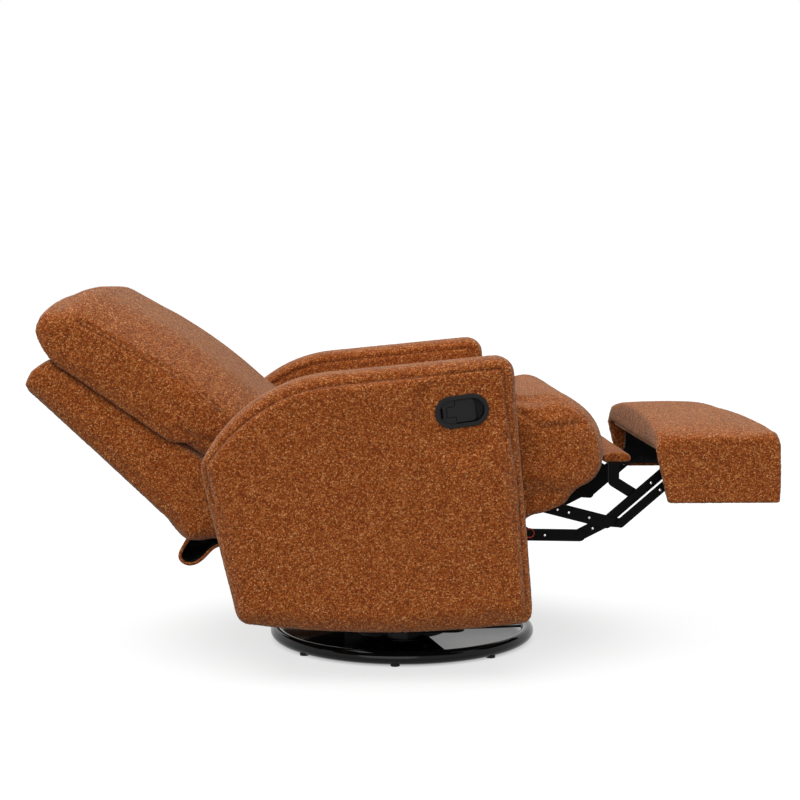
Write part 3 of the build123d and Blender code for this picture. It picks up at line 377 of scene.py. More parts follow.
def black_plastic():
    """Moulded black plastic with a fine leather grain."""
    finish = Finish("black_plastic")
    grain = finish.node("ShaderNodeTexVoronoi", {"feature": "DISTANCE_TO_EDGE"}, {
        "Vector": finish.place, "Scale": 900.0}).outputs["Distance"]
    height = Wire(finish, grain).ramp(0.0, 0.12)
    smudge = finish.noise(35.0, 3.0)
    colour = finish.mix(smudge, (0.0040, 0.0036, 0.0036, 1.0), (0.0090, 0.0080, 0.0078, 1.0))
    return finish.done(Base_Color=colour, Roughness=smudge * 0.14 + 0.26,
                       Normal=finish.bump(height, 0.0002, 0.35), Specular_IOR_Level=0.16)


def nylon(name, first, second, scale, shine):
    """Moulded nylon between two colours."""
    finish = Finish(name)
    flow = finish.noise(scale, 3.0)
    colour = finish.mix(flow, (*first, 1.0), (*second, 1.0))
    return finish.done(Base_Color=colour, Roughness=flow * 0.15 + shine,
                       Normal=finish.bump(finish.noise(500.0), 0.0001, 0.3))


def hardwood():
    """Planed poplar with long grain along X or across, unfinished."""
    finish = Finish("hardwood")
    rings = finish.noise(1.0, 4.0, finish.stretched(9.0, 60.0, 60.0))
    pores = finish.noise(1.0, 2.0, finish.stretched(70.0, 900.0, 900.0))
    colour = finish.ramp_colour(rings, [
        (0.30, (0.33, 0.20, 0.10)), (0.50, (0.50, 0.34, 0.19)), (0.70, (0.62, 0.46, 0.29))])
    colour = finish.mix(pores.ramp(0.55, 0.75) * 0.5, colour, (0.22, 0.13, 0.06, 1.0))
    return finish.done(Base_Color=colour, Roughness=pores * 0.2 + 0.6,
                       Normal=finish.bump(pores + rings * 0.5, 0.0004, 0.4))


def thread():
    """Twisted sewing thread, darker than the cloth."""
    finish = Finish("thread")
    twist = finish.noise(1800.0, 2.0)
    colour = finish.mix(twist, (0.030, 0.006, 0.001, 1.0), (0.080, 0.018, 0.004, 1.0))
    return finish.done(Base_Color=colour, Roughness=0.7, Normal=finish.bump(twist, 0.0002, 0.5))


finishes = {
    "rust_boucle": rust_boucle(),
    "thread": thread(),
    "black_lining": black_lining(),
    "gloss_black": painted_steel("gloss_black", (0.003, 0.003, 0.003), 0.03, 0.00004, 0.20, 0.0),
    "black_steel": painted_steel("black_steel", (0.0024, 0.0020, 0.0020), 0.30, 0.00015, 0.05, 0.0),
    "red_nylon": nylon("red_nylon", (0.42, 0.012, 0.010), (0.58, 0.030, 0.024), 60.0, 0.35),
    "bare_steel": bare_steel(),
    "black_plastic": black_plastic(),
    "nylon": nylon("nylon", (0.62, 0.60, 0.54), (0.78, 0.77, 0.72), 30.0, 0.4),
    "hardwood": hardwood(),
}


def blacken_pivot_heads():
    """The footrest's pivot pins and rivets are painted with its bars, though their slot is bare."""
    for name in ("mount_pins", "upper_rear_bar_pins", "lower_rear_bar_pins", "upper_front_bar_pins",
                 "lower_front_bar_pins"):
        mesh = nodes[name].data
        mesh.materials.clear()
        mesh.materials.append(finishes["black_steel"])


def dress_nodes():
    """Gives every construction node the finish of its material slot."""
    for part in frame["record"]["subparts"]:
        mesh = nodes[part["node"]].data
        mesh.materials.clear()
        mesh.materials.append(finishes[part["material_slot"]])
    blacken_pivot_heads()


# ---------------------------------------------------------------- camera, light and floor

white = (1.0, 1.0, 1.0, 1.0)
room_light = 0.46


def make_camera():
    """The photograph's camera, as fitted to the arms, the ottoman and the floor ring."""
    data = bpy.data.cameras.new("camera")
    data.lens = 73.18
    data.sensor_width = 36.0
    data.clip_end = 60.0
    camera = bpy.data.objects.new("camera", data)
    camera.location = (-0.12089, -3.28171, 0.77130)
    camera.rotation_euler = (math.pi / 2 - 0.0874, 0.0, -0.0356)
    bpy.context.scene.collection.objects.link(camera)
    bpy.context.scene.camera = camera


def make_sun(name, direction, strength, spread):
    data = bpy.data.lights.new(name, "SUN")
    data.energy = strength
    data.angle = math.radians(spread)
    lamp = bpy.data.objects.new(name, data)
    lamp.rotation_euler = Vector(direction).to_track_quat("-Z", "Y").to_euler()
    bpy.context.scene.collection.objects.link(lamp)


def make_world():
    """A dim even room that the camera and mirrors see as white."""
    world = bpy.data.worlds.new("room")
    world.use_nodes = True
    tree = world.node_tree
    tree.nodes.clear()
    path = tree.nodes.new("ShaderNodeLightPath")
    seen = tree.nodes.new("ShaderNodeMath")
    seen.operation = "MAXIMUM"
    tree.links.new(path.outputs["Is Camera Ray"], seen.inputs[0])
    tree.links.new(path.outputs["Is Glossy Ray"], seen.inputs[1])
    level = tree.nodes.new("ShaderNodeMapRange")
    level.inputs["To Min"].default_value = room_light
    level.inputs["To Max"].default_value = 1.0
    tree.links.new(seen.outputs[0], level.inputs["Value"])
    room = tree.nodes.new("ShaderNodeBackground")
    room.inputs["Color"].default_value = white
    tree.links.new(level.outputs["Result"], room.inputs["Strength"])
    output = tree.nodes.new("ShaderNodeOutputWorld")
    tree.links.new(room.outputs["Background"], output.inputs["Surface"])
    bpy.context.scene.world = world


def make_floor():
    """A pale floor that keeps the chair's shadow. Its glow for the camera and in mirrors is weak under the chair,
    which paints shade there, and rises further out, which paints the shadow lighter towards white.
    """
    shape = bmesh.new()
    bmesh.ops.create_circle(shape, cap_ends=True, segments=64, radius=18.0)
    mesh = bpy.data.meshes.new("floor")
    shape.to_mesh(mesh)
    shape.free()
    floor = bpy.data.objects.new("floor", mesh)
    bpy.context.scene.collection.objects.link(floor)
    finish = Finish("floor_white")
    path = finish.node("ShaderNodeLightPath")
    seen = finish.maths("MAXIMUM", path.outputs["Is Camera Ray"], path.outputs["Is Glossy Ray"])

    def shade(colour, glow):
        """A matt grey that also glows for the camera and in mirrors."""
        matt = finish.node("ShaderNodeBsdfDiffuse", inputs={"Color": (colour, colour, colour, 1.0)})
        light = finish.node("ShaderNodeEmission", inputs={"Color": white, "Strength": seen * glow})
        return finish.node("ShaderNodeAddShader", inputs={0: matt.outputs[0], 1: light.outputs[0]}).outputs[0]

    reach = Wire(finish, finish.node("ShaderNodeVectorMath", {"operation": "LENGTH"}, {
        0: finish.place}).outputs["Value"])
    # Painted shade: inside the ring the floor is darker and glows little; past the ring it glows more, and from
    # 0.30 m to 0.62 m out its glow rises again and lightens the chair's shadow.
    painted_shade_edge, painted_glow_rise = reach.ramp(0.235, 0.275), reach.ramp(0.30, 0.62)
    near = finish.node("ShaderNodeMixShader", inputs={
        0: painted_shade_edge, 1: shade(0.55, 0.18), 2: shade(0.30, 0.70)})
    both = finish.node("ShaderNodeMixShader", inputs={
        0: painted_glow_rise, 1: near.outputs[0], 2: shade(0.16, 0.90)})
    finish.node("ShaderNodeOutputMaterial", inputs={"Surface": both.outputs[0]})
    mesh.materials.append(finish.material)


def make_studio():
    make_camera()
    make_world()
    make_floor()
    make_sun("overhead", (0.12, 0.18, -1.0), 1.82, 70.0)
    make_sun("front", (0.25, 1.0, -0.35), 1.10, 50.0)
    bpy.context.scene.view_settings.view_transform = "Standard"


# ---------------------------------------------------------------- padded pieces

def node_shape(*names):
    """A bmesh of construction nodes, with their loose triangles merged."""
    shape = bmesh.new()
    for name in names:
        shape.from_mesh(nodes[name].data)
    bmesh.ops.remove_doubles(shape, verts=shape.verts, dist=merge_distance)
    return shape


def new_piece(name, shape, finish):
    """Turns a bmesh into an object with one finish."""
    mesh = bpy.data.meshes.new(name)
    shape.to_mesh(mesh)
    shape.free()
    piece = bpy.data.objects.new(name, mesh)
    bpy.context.scene.collection.objects.link(piece)
    mesh.materials.append(finishes[finish])
    return piece


def shade_smooth(piece):
    for face in piece.data.polygons:
        face.use_smooth = True


def settle(piece):
    """Applies the piece's modifiers."""
    seen = piece.evaluated_get(bpy.context.evaluated_depsgraph_get())
    mesh = bpy.data.meshes.new_from_object(seen)
    old = piece.data
    mesh.name = piece.name
    piece.modifiers.clear()
    piece.data = mesh
    bpy.data.meshes.remove(old)


def remesh(piece, spacing):
    skin = piece.modifiers.new("skin", "REMESH")
    skin.mode = "VOXEL"
    skin.voxel_size = spacing
    settle(piece)


def relax(piece, rounds):
    """Evens out the surface by moving each point half way to the middle of its neighbours."""
    shape = bmesh.new()
    shape.from_mesh(piece.data)
    for _ in range(rounds):
        bmesh.ops.smooth_vert(shape, verts=shape.verts, factor=0.5,
                              use_axis_x=True, use_axis_y=True, use_axis_z=True)
    shape.to_mesh(piece.data)
    shape.free()


def soft_piece(name, node_names, spacing, rounds):
    """Construction nodes as one evenly meshed piece in the chair's cloth."""
    piece = new_piece(name, node_shape(*node_names), "rust_boucle")
    remesh(piece, spacing)
    relax(piece, rounds)
    return piece


def subdivide(piece):
    finer = piece.modifiers.new("finer", "SUBSURF")
    finer.levels = 1
    finer.render_levels = 1
    settle(piece)


def points_of(piece):
    points = np.empty(3 * len(piece.data.vertices))
    piece.data.vertices.foreach_get("co", points)
    return points.reshape(-1, 3)


def normals_of(piece):
    normals = np.empty(3 * len(piece.data.vertices))
    piece.data.vertex_normals.foreach_get("vector", normals)
    return normals.reshape(-1, 3)


def put_points(piece, points):
    piece.data.vertices.foreach_set("co", points.ravel())
    piece.data.update()


def inflate(piece, cap, held=None):
    """Blows the piece up as sewn cloth. No point moves further than cap, and held points stay."""
    start = points_of(piece)
    cloth = piece.modifiers.new("cloth", "CLOTH")
    if held is not None:
        group = piece.vertex_groups.new(name="held")
        group.add([int(i) for i in np.nonzero(held(start))[0]], 1.0, "REPLACE")
        cloth.settings.vertex_group_mass = "held"
    cloth.settings.use_pressure = True
    cloth.settings.uniform_pressure_force = sim_pressure
    cloth.settings.effector_weights.gravity = 0.0
    cloth.settings.quality = 4
    cloth.settings.tension_stiffness = 12.0
    cloth.settings.compression_stiffness = 6.0
    cloth.settings.bending_stiffness = 0.6
    cloth.collision_settings.use_collision = False
    cloth.point_cache.frame_end = sim_frames
    for step in range(1, sim_frames + 1):
        bpy.context.scene.frame_set(step)
    settle(piece)
    piece.vertex_groups.clear()
    bpy.context.scene.frame_set(1)
    moved = points_of(piece) - start
    length = np.linalg.norm(moved, axis=1, keepdims=True)
    put_points(piece, start + moved * np.minimum(1.0, cap / np.maximum(length, 1e-9)))


def smooth_step(values, low, high):
    """0 at low, 1 at high, smooth between. low may be the larger."""
    part = np.clip((values - low) / (high - low), 0.0, 1.0)
    return part * part * (3.0 - 2.0 * part)


def roughen(piece, seed):
    """Raises the cloth's loops: each point moves a little along its normal."""
    points = points_of(piece)
    raised = np.random.default_rng(seed).uniform(-loop_height, loop_height, len(points))
    put_points(piece, points + normals_of(piece) * raised[:, None])


def along(path, step):
    """Points at an even step along a path of straight runs."""
    path = np.asarray(path, float)
    runs = np.linalg.norm(np.diff(path, axis=0), axis=1)
    total = np.concatenate([[0.0], np.cumsum(runs)])
    places = np.linspace(0.0, total[-1], max(2, int(total[-1] / step)))
    return np.stack([np.interp(places, total, path[:, axis]) for axis in range(path.shape[1])], axis=1)


def nearest_gap(points, path):
    """Distance from each point to a finely stepped path."""
    tree = KDTree(len(path))
    for index, place in enumerate(path):
        tree.insert(place, index)
    tree.balance()
    return np.array([tree.find(point)[2] for point in points])


def on_side(piece, path, y, sign):
    """Moves an (x, z) path from y onto the piece's side, and gives places and normals there."""
    tree = BVHTree.FromPolygons([v.co for v in piece.data.vertices],
                                [tuple(face.vertices) for face in piece.data.polygons])
    way = Vector((0.0, -sign, 0.0))
    row = []
    for x, z in path:
        hit, normal, _, _ = tree.ray_cast(Vector((x, y, z)) - way * cast_distance, way)
        if hit is not None:
            row.append((np.array(hit), np.array(normal)))
    return row


def sew(piece, row, depth=seam_depth, width=seam_width, painted_darkness=seam_painted_shade):
    """Draws the cloth in along a row of places, with a low swell beside it, and paints shade into the groove."""
    points = points_of(piece)
    fine = along([place for place, _ in row], sew_step)
    low, high = fine.min(axis=0) - sew_reach, fine.max(axis=0) + sew_reach
    near = np.nonzero(((points > low) & (points < high)).all(axis=1))[0]
    gap = nearest_gap(points[near], fine)
    trough = depth * np.exp(-(gap / width) ** 2)
    swell = 0.25 * depth * np.exp(-((gap - 3 * width) / (1.6 * width)) ** 2)
    points[near] -= normals_of(piece)[near] * (trough - swell)[:, None]
    put_points(piece, points)
    # Painted shade in the groove, darkest along its middle, kept in the attribute "seam".
    painted_shade_layer = piece.data.attributes.get("seam") or piece.data.attributes.new("seam", "FLOAT", "POINT")
    shade = np.zeros(len(points))
    painted_shade_layer.data.foreach_get("value", shade)
    shade[near] = np.maximum(shade[near], painted_darkness * np.exp(-(gap / (0.6 * width)) ** 2))
    painted_shade_layer.data.foreach_set("value", shade)


def stitches(name, body, rows):
    """Rows of thread stitches, from places and normals on the cloth."""
    shape = bmesh.new()
    for row in rows:
        places = np.array([place for place, _ in row])
        facing = np.array([normal for _, normal in row])
        steps = along(np.hstack([places, facing]), stitch_length + stitch_gap)
        for here, there in zip(steps, steps[1:]):
            way = Vector(there[:3] - here[:3])
            if way.length < 0.3 * stitch_length or way.length > 3 * stitch_length:
                continue
            up = Vector(here[3:]).normalized()
            turn = Matrix((way.normalized(), up.cross(way).normalized(), up)).transposed().to_4x4()
            middle = Matrix.Translation(Vector(here[:3]) + way / 2 + up * stitch_radius * 0.4)
            size = Matrix.Diagonal((stitch_length / 2, stitch_radius, stitch_radius, 1.0))
            bmesh.ops.create_icosphere(shape, subdivisions=1, radius=1.0, matrix=middle @ turn @ size)
    piece = new_piece(name, shape, "thread")
    shade_smooth(piece)
    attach(piece, body)


def finish_soft(piece, body, replaced):
    """Smooths a padded piece, hangs it on its body and puts it in place of construction nodes."""
    shade_smooth(piece)
    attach(piece, body)
    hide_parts(*replaced)


# ---------------------------------------------------------------- arms

def clear_pocket(piece):
    """Pushes the right arm's cloth out of the latch cup's pocket."""
    points = points_of(piece)
    c, s = math.cos(latch_tilt), math.sin(latch_tilt)
    dx, dz = points[:, 0] - latch_centre[0], points[:, 2] - latch_centre[1]
    level = np.stack([dx * c + dz * s, -dx * s + dz * c], axis=1)
    half_length, half_height = latch_pocket
    spine = np.clip(level[:, 0], half_height - half_length, half_length - half_height)
    out = level - np.stack([spine, np.zeros(len(spine))], axis=1)
    reach = np.maximum(np.linalg.norm(out, axis=1), 1e-9)
    wall = (reach > half_height - pocket_wall) & (reach < half_height + pocket_gap)
    wall &= points[:, 1] < pocket_floor_y
    shift = out / reach[:, None] * np.where(wall, half_height + pocket_gap - reach, 0.0)[:, None]
    points[:, 0] += shift[:, 0] * c - shift[:, 1] * s
    points[:, 2] += shift[:, 0] * s + shift[:, 1] * c
    put_points(piece, points)


def half_arm(name, sign):
    """The outer half of an arm, cut along its middle plane."""
    shape = node_shape(name)
    bmesh.ops.bisect_plane(shape, geom=shape.verts[:] + shape.edges[:] + shape.faces[:],
                           plane_co=(0.0, sign * arm_middle_y, 0.0), plane_no=(0.0, sign, 0.0),
                           clear_inner=True)
    return shape


def arm_outline():
    """The arm's closed outline in (x, z), read from the cut through its middle."""
    shape = half_arm("arm_left", 1.0)
    edge = next(e for e in shape.edges if e.is_boundary)
    loop = [edge.verts[0], edge.verts[1]]
    while loop[-1] is not loop[0]:
        onward = [e.other_vert(loop[-1]) for e in loop[-1].link_edges if e.is_boundary]
        loop.append(next(v for v in onward if v is not loop[-2]))
    outline = np.array([(v.co.x, v.co.z) for v in loop])
    shape.free()
    return outline


def arm_seam_path():
    """The seam's run, inside the outline: up the rear edge, over the top and down the front."""
    fine = along(arm_outline(), outline_step)
    inward = np.gradient(fine, axis=0)[:, ::-1] * (1.0, -1.0)
    inward /= np.linalg.norm(inward, axis=1, keepdims=True)
    centre = fine.mean(axis=0)
    if ((centre - fine) * inward).sum() < 0:
        inward = -inward
    upper = smooth_step(fine[:, 1], *arm_seam_rise)
    depth = arm_seam_low_inset + (arm_seam_inset - arm_seam_low_inset) * upper
    inset = fine + inward * depth[:, None]
    gap = np.array([np.linalg.norm(fine - place, axis=1).min() for place in inset])
    keep = (gap > depth - arm_seam_slack) & (inset[:, 1] > arm_seam_foot_z)
    keep &= (inset[:, 0] > arm_seam_front_x) | (inset[:, 1] > arm_seam_rear_z)
    inset = inset[keep]
    order = np.argmax(np.linalg.norm(np.diff(inset, axis=0, append=inset[:1]), axis=1))
    return np.roll(inset, -order - 1, axis=0)


def make_arm(side, sign):
    name = "arm_" + side
    middle = sign * arm_middle_y
    shape = half_arm(name, sign)
    # The inner half repeats the left arm's outer half, mirrored or shifted.
    inner = half_arm("arm_left", 1.0)
    flip = Matrix.Translation((0.0, 2 * middle, 0.0)) @ Matrix.Diagonal((1.0, -sign, 1.0, 1.0))
    bmesh.ops.transform(inner, matrix=flip, verts=inner.verts)
    if sign > 0:
        bmesh.ops.reverse_faces(inner, faces=inner.faces)
    spare = bpy.data.meshes.new("spare")
    inner.to_mesh(spare)
    inner.free()
    shape.from_mesh(spare)
    bpy.data.meshes.remove(spare)
    bmesh.ops.remove_doubles(shape, verts=shape.verts, dist=merge_distance)
    piece = new_piece("arm_cover_" + side, shape, "rust_boucle")
    remesh(piece, voxel)
    relax(piece, 3)

    def near_latch(points):
        reach = np.hypot(points[:, 0] - latch_centre[0], points[:, 2] - latch_centre[1])
        return (reach < latch_reach) & (points[:, 1] * sign > abs(middle)) & (sign < 0)

    outline = points_of(piece)[:, [0, 2]]
    inflate(piece, arm_cap, near_latch)
    points = points_of(piece)
    points[:, [0, 2]] = outline
    wide = smooth_step(points[:, 2], *swell_heights)
    points[:, 0] += arm_lower_swell * wide * (smooth_step(points[:, 0], *swell_front)
                                              - smooth_step(points[:, 0], *swell_rear))
    points[:, 1] = sign * np.clip(points[:, 1] * sign, inner_arm_y + arm_inner_gap, outer_arm_y + arm_cap)
    points[:, 2] -= sole_drop * smooth_step(points[:, 2], *sole_heights)
    put_points(piece, points)
    subdivide(piece)
    if sign < 0:
        clear_pocket(piece)
    rows = []
    path = along(arm_seam_path(), row_step)
    for face_sign in (1.0, -1.0):
        y = middle + face_sign * arm_width / 2
        sew(piece, on_side(piece, path, y, face_sign))
        rows.append(on_side(piece, path, y, face_sign))
    roughen(piece, 11)
    finish_soft(piece, "chassis", [name])
    stitches("arm_stitches_" + side, "chassis", rows)


# ---------------------------------------------------------------- seat

def make_seat():
    sides = ["seat_side_left", "seat_side_right"]
    piece = soft_piece("seat_cover", ["seat_cushion", *sides, "seat_rail_front"], voxel, 6)
    inflate(piece, seat_cap, lambda points: points[:, 2] < seat_held_z)
    points = points_of(piece)
    behind_nose = smooth_step(points[:, 0], *seat_nose)
    share = smooth_step(points[:, 0], *seat_settle_front) * smooth_step(points[:, 2], *seat_settle_heights)
    points[:, 2] -= (seat_settle + seat_nose_settle * behind_nose) * share
    limit = inner_arm_y - seat_arm_gap
    points[:, 1] = np.clip(points[:, 1], -limit, limit)
    put_points(piece, points)
    subdivide(piece)
    crease = along(seat_crease, row_step)
    for sign in (1.0, -1.0):
        sew(piece, on_side(piece, crease, sign * inner_arm_y, sign), *seat_crease_sewn)
    roughen(piece, 12)
    finish_soft(piece, "seat", ["seat_cushion", *sides])


# ---------------------------------------------------------------- back

def make_back():
    shell = soft_piece("back_shell_cover", ["back_shell"], voxel, 4)
    inflate(shell, shell_cap)
    points = points_of(shell)
    outward = smooth_step((points[:, [0, 2]] - shell_top) @ shell_normal, *shell_padding_depths)
    points[:, [0, 2]] -= shell_padding * outward[:, None] * shell_rear_normal
    points[:, 2] -= shell_low_drop * smooth_step(points[:, 2], *shell_low_heights)
    put_points(shell, points)
    subdivide(shell)
    roughen(shell, 13)

    cushion = soft_piece("back_pillow", ["back_cushion"], voxel, 10)
    inflate(cushion, pillow_cap)
    hang_over(cushion)
    subdivide(cushion)
    rows = []
    for sign in (1.0, -1.0):
        for gap in pillow_seam_gaps:
            path = along(pillow_seam, row_step) + gap * shell_normal
            sew(cushion, on_side(cushion, path, sign * pillow_cast_y, sign), *pillow_seam_sewn)
            rows.append(on_side(cushion, path, sign * pillow_cast_y, sign))
        fold = along(pillow_fold, row_step)
        sew(cushion, on_side(cushion, fold, sign * pillow_cast_y, sign), *pillow_fold_sewn)
    roughen(cushion, 14)
    paint_shadow_under(shell, cushion)
    finish_soft(shell, "back", ["back_shell"])
    finish_soft(cushion, "back", ["back_cushion"])
    stitches("back_stitches", "back", rows)


def hang_over(cushion):
    """Sinks the cushion's middle, and lets its padded sides bulge past the shell and droop over its edge."""
    points = points_of(cushion)
    from_top = points[:, [0, 2]] - shell_top
    down = from_top @ shell_run
    height = from_top @ shell_normal
    head = smooth_step(down, *pillow_head)
    down = np.where(down < 0.0, down * pillow_head_length, down)
    height = height - head * pillow_head_sink * smooth_step(height, *pillow_head_heights)
    height = height * (1.0 - pillow_slump * smooth_step(down, *pillow_slump_run))
    points[:, [0, 2]] = shell_top + down[:, None] * shell_run + height[:, None] * shell_normal
    side = smooth_step(np.abs(points[:, 1]), *pillow_side)
    clear_of_arm = smooth_step(down, *arm_clearance)
    belly = smooth_step(height, *belly_rise) * smooth_step(height, *belly_fall)
    bulge = pillow_bulge + pillow_free_bulge * clear_of_arm
    points[:, 1] += np.sign(points[:, 1]) * side * bulge * (0.45 + 0.55 * belly)
    outside = smooth_step(np.abs(points[:, 1]), *pillow_hanging_side)
    drop = side_droop * outside * clear_of_arm
    drop = drop * smooth_step(height, *droop_heights) * smooth_step(down, *droop_run)
    points[:, [0, 2]] -= drop[:, None] * shell_normal
    put_points(cushion, points)


def paint_shadow_under(shell, cushion):
    """Paints shadow on the shell's sides just below the cushion's hanging edge."""
    hanging = points_of(cushion)
    hanging = hanging[np.abs(hanging[:, 1]) > pillow_hanging_side[0]]
    from_top = hanging[:, [0, 2]] - shell_top
    steps = np.arange(*painted_shadow_steps)
    row = np.digitize(from_top @ shell_run, steps)
    height = from_top @ shell_normal
    edge = np.array([height[row == k].min() if (row == k).any() else 0.0 for k in range(len(steps) + 1)])
    points = points_of(shell)
    from_top = points[:, [0, 2]] - shell_top
    below = np.interp(from_top @ shell_run, steps, edge[1:]) - from_top @ shell_normal
    # The painted shadow goes into the cloth's attribute "seam".
    painted_shade_layer = shell.data.attributes.new("seam", "FLOAT", "POINT")
    side = smooth_step(np.abs(points[:, 1]), *shell_side)
    painted_shade_layer.data.foreach_set("value", side * painted_shadow_darkness * smooth_step(below, *painted_shadow_reach))


def flap_bend():
    """The flap's route in (x, z), evenly stepped and with its corners rounded."""
    route = np.array(flap_route)
    turns = np.concatenate([[0.0], np.cumsum(np.linalg.norm(np.diff(route, axis=0), axis=1))])
    fine = np.linspace(0.0, turns[-1], flap_steps)
    bend = np.stack([np.interp(fine, turns, route[:, axis]) for axis in (0, 1)], axis=1)
    for _ in range(flap_rounding):
        bend[1:-1] = bend[1:-1] * 0.5 + (bend[:-2] + bend[2:]) * 0.25
    return bend


def make_flap():
    """The flap behind the seat: cloth outside, black lining inside, hanging in a fold."""
    bend = flap_bend()
    shape = bmesh.new()
    verts = [shape.verts.new((x, -flap_half_width, z)) for x, z in bend]
    edges = [shape.edges.new(pair) for pair in zip(verts, verts[1:])]
    step = 2 * flap_half_width / flap_stations
    for _ in range(flap_stations):
        grown = bmesh.ops.extrude_edge_only(shape, edges=edges)["geom"]
        edges = [item for item in grown if isinstance(item, bmesh.types.BMEdge)
                 and all(vert in grown for vert in item.verts)]
        moved = [item for item in grown if isinstance(item, bmesh.types.BMVert)]
        edges = [edge for edge in edges if abs(edge.verts[0].co.y - edge.verts[1].co.y) < 1e-6]
        bmesh.ops.translate(shape, vec=(0.0, step, 0.0), verts=moved)
    for vert in shape.verts:
        share = math.sin(math.pi * min(1.0, max(0.0, (vert.co.x - bend[0][0]) / (bend[-1][0] - bend[0][0]))))
        vert.co.z -= flap_sag * share * (1.0 + math.sin(vert.co.y * flap_waves + flap_wave_start))
    bmesh.ops.recalc_face_normals(shape, faces=shape.faces)
    if sum(face.normal.z * face.calc_area() for face in shape.faces) > 0:
        bmesh.ops.reverse_faces(shape, faces=shape.faces)
    flap = new_piece("rear_flap_cloth", shape, "rust_boucle")
    flap.data.materials.append(finishes["black_lining"])
    wall = flap.modifiers.new("wall", "SOLIDIFY")
    wall.thickness = flap_thickness
    wall.offset = 0.0
    wall.material_offset = 1
    settle(flap)
    shade_smooth(flap)
    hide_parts("rear_flap")
    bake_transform(flap)


# ---------------------------------------------------------------- footrest

def square_corners(cover):
    """Turns the ottoman's wide top corners into nearly square ones, as the cloth is pulled there."""
    points = points_of(cover)
    for x, z_drop, run, way in ottoman_corners:
        centre_x = x - way * run
        edge = np.interp(np.abs(points[:, 1]), *ottoman_top_edge)
        across = (points[:, 0] - centre_x) * way / run
        up = (points[:, 2] - (edge - z_drop)) / z_drop
        corner = (across > 0.02) & (up > 0.02)
        reach = (np.abs(across) ** squareness + np.abs(up) ** squareness) ** (1 / squareness)
        grown = np.where(corner, 1.0 / np.maximum(reach, 0.5), 1.0)
        points[:, 0] = np.where(corner, centre_x + way * run * across * grown, points[:, 0])
        points[:, 2] = np.where(corner, edge - z_drop + z_drop * up * grown, points[:, 2])
    put_points(cover, points)


def joint_place(name):
    joint = next(joint for joint in frame["joints"] if joint["name"] == name)
    return Vector(joint["pos_m"])


def make_rivet_centres():
    """Bright domes in the middle of the footrest's black rivet heads."""
    upper, lower = joint_place("footrest"), joint_place("lower_rear_fold")
    crossing, lug = joint_place("upper_front_fold"), joint_place("lower_front_fold")
    ottoman = joint_place("ottoman_fold")
    tail = lower + crossing - upper
    bend = tail + Vector(bar_bend)
    far = ottoman + lug - crossing
    # Rivets stand at these shares of the way between two pivots.
    rows = {"upper_rear_bars": (rear_layer, [upper.lerp(crossing, share) for share in (0.46, 0.585, 0.81)]),
            "lower_rear_bars": (rear_layer, [bend.lerp(tail, 0.32)]),
            "upper_front_bars": (inner_layer, [tail.lerp(crossing, 0.5), crossing.lerp(ottoman, 0.76)]),
            "lower_front_bars": (outer_layer, [lug.lerp(far, 0.66)])}
    size = Matrix.Diagonal((rivet_radius, rivet_height, rivet_radius, 1.0))
    for body, (layer, places) in rows.items():
        shape = bmesh.new()
        for place in places:
            for sign in (1.0, -1.0):
                for face_sign in (1.0, -1.0):
                    y = sign * layer + face_sign * rivet_face
                    bmesh.ops.create_uvsphere(shape, u_segments=12, v_segments=8, radius=1.0,
                                              matrix=Matrix.Translation((place.x, y, place.z)) @ size)
        piece = new_piece(body + "_rivet_centres", shape, "bare_steel")
        shade_smooth(piece)
        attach(piece, body)


def make_washers():
    """A red washer at the bend of each lower rear bar: a small circle spun to a ring, and stood up."""
    shape = bmesh.new()
    quarter_turn = Matrix.Rotation(math.pi / 2, 3, "X")
    rim_centre = (washer_radius, 0.0, 0.0)
    for sign in (1.0, -1.0):
        rim = bmesh.ops.create_circle(shape, segments=10, radius=washer_wire)["verts"]
        bmesh.ops.translate(shape, vec=rim_centre, verts=rim)
        bmesh.ops.rotate(shape, cent=rim_centre, matrix=quarter_turn, verts=rim)
        edges = list({edge for vert in rim for edge in vert.link_edges})
        bmesh.ops.spin(shape, geom=rim + edges, cent=(0.0, 0.0, 0.0), axis=(0.0, 0.0, 1.0),
                       angle=2 * math.pi, steps=32, use_merge=True)
        ring = [vert for vert in shape.verts if vert.co.length < 2 * washer_radius]
        bmesh.ops.rotate(shape, cent=(0.0, 0.0, 0.0), matrix=quarter_turn, verts=ring)
        bmesh.ops.translate(shape, vec=(washer_place[0], sign * washer_place[1], washer_place[2]), verts=ring)
    bmesh.ops.remove_doubles(shape, verts=shape.verts, dist=merge_distance)
    bmesh.ops.recalc_face_normals(shape, faces=shape.faces)
    washers = new_piece("red_washers", shape, "red_nylon")
    shade_smooth(washers)
    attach(washers, "lower_rear_bars")


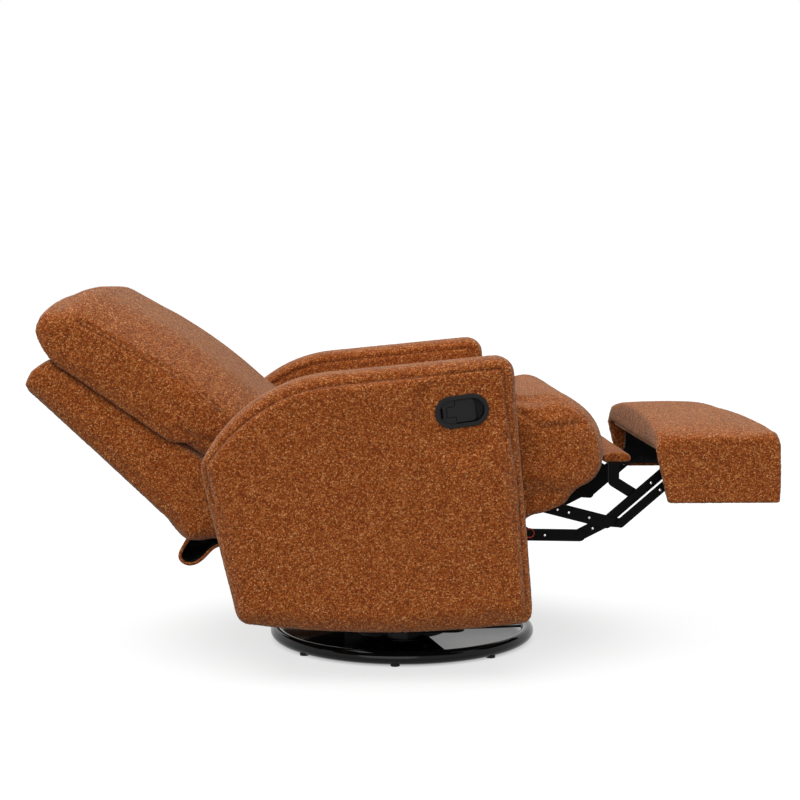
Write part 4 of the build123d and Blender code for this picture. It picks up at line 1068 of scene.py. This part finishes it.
def shape_ottoman(cover):
    """Crowns and bows the ottoman's top, sinks its bottom and lifts its front top corners."""
    low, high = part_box("ottoman_cover")
    points = points_of(cover)
    top = smooth_step(points[:, 2], *ottoman_top_heights)
    reach = np.clip((points[:, 0] - (low.x + high.x) / 2) / ottoman_bow_reach, -1.0, 1.0)
    crown = ottoman_crown * (1.0 - ottoman_front_flat * smooth_step(points[:, 0], *ottoman_front_run))
    points[:, 2] += top * (crown * (1.0 - (points[:, 1] / high.y) ** 2) + ottoman_bow * reach ** 2)
    points[:, 2] -= ottoman_low_drop * smooth_step(points[:, 2], *ottoman_low_heights)
    corner = smooth_step(np.abs(points[:, 1]), *lifted_side) * smooth_step(points[:, 0], *lifted_front)
    points[:, 2] += ottoman_corner_lift * corner * smooth_step(points[:, 2], *lifted_heights)
    put_points(cover, points)


def line_ottoman(cover):
    """Gives the ottoman's open inside the black lining, up to the cloth's turned edges."""
    low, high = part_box("ottoman_cover")
    cover.data.materials.append(finishes["black_lining"])
    for face in cover.data.polygons:
        x, y, z = face.center
        hidden = abs(y) < high.y - lining_inset and x < high.x - lining_inset and z < lining_top
        bottom_edge = z < low.z + bottom_hem
        rear_edge = x < low.x + rear_hem and z > rear_hem_z
        face.material_index = 1 if hidden and not (bottom_edge or rear_edge) else 0


def make_ottoman():
    cover = new_piece("ottoman_upholstery", node_shape("ottoman_cover"), "rust_boucle")
    square_corners(cover)
    remesh(cover, ottoman_voxel)
    relax(cover, 3)
    shape_ottoman(cover)
    subdivide(cover)
    roughen(cover, 15)
    line_ottoman(cover)
    finish_soft(cover, "ottoman", ["ottoman_cover"])


def make_flipper():
    pad = soft_piece("flipper_pad", ["flipper_board"], flipper_voxel, 3)
    subdivide(pad)
    roughen(pad, 16)
    finish_soft(pad, "flipper", ["flipper_board"])


dress_nodes()
make_studio()
make_arm("left", 1.0)
make_arm("right", -1.0)
make_seat()
make_back()
make_flap()
make_ottoman()
make_flipper()
make_rivet_centres()
make_washers()
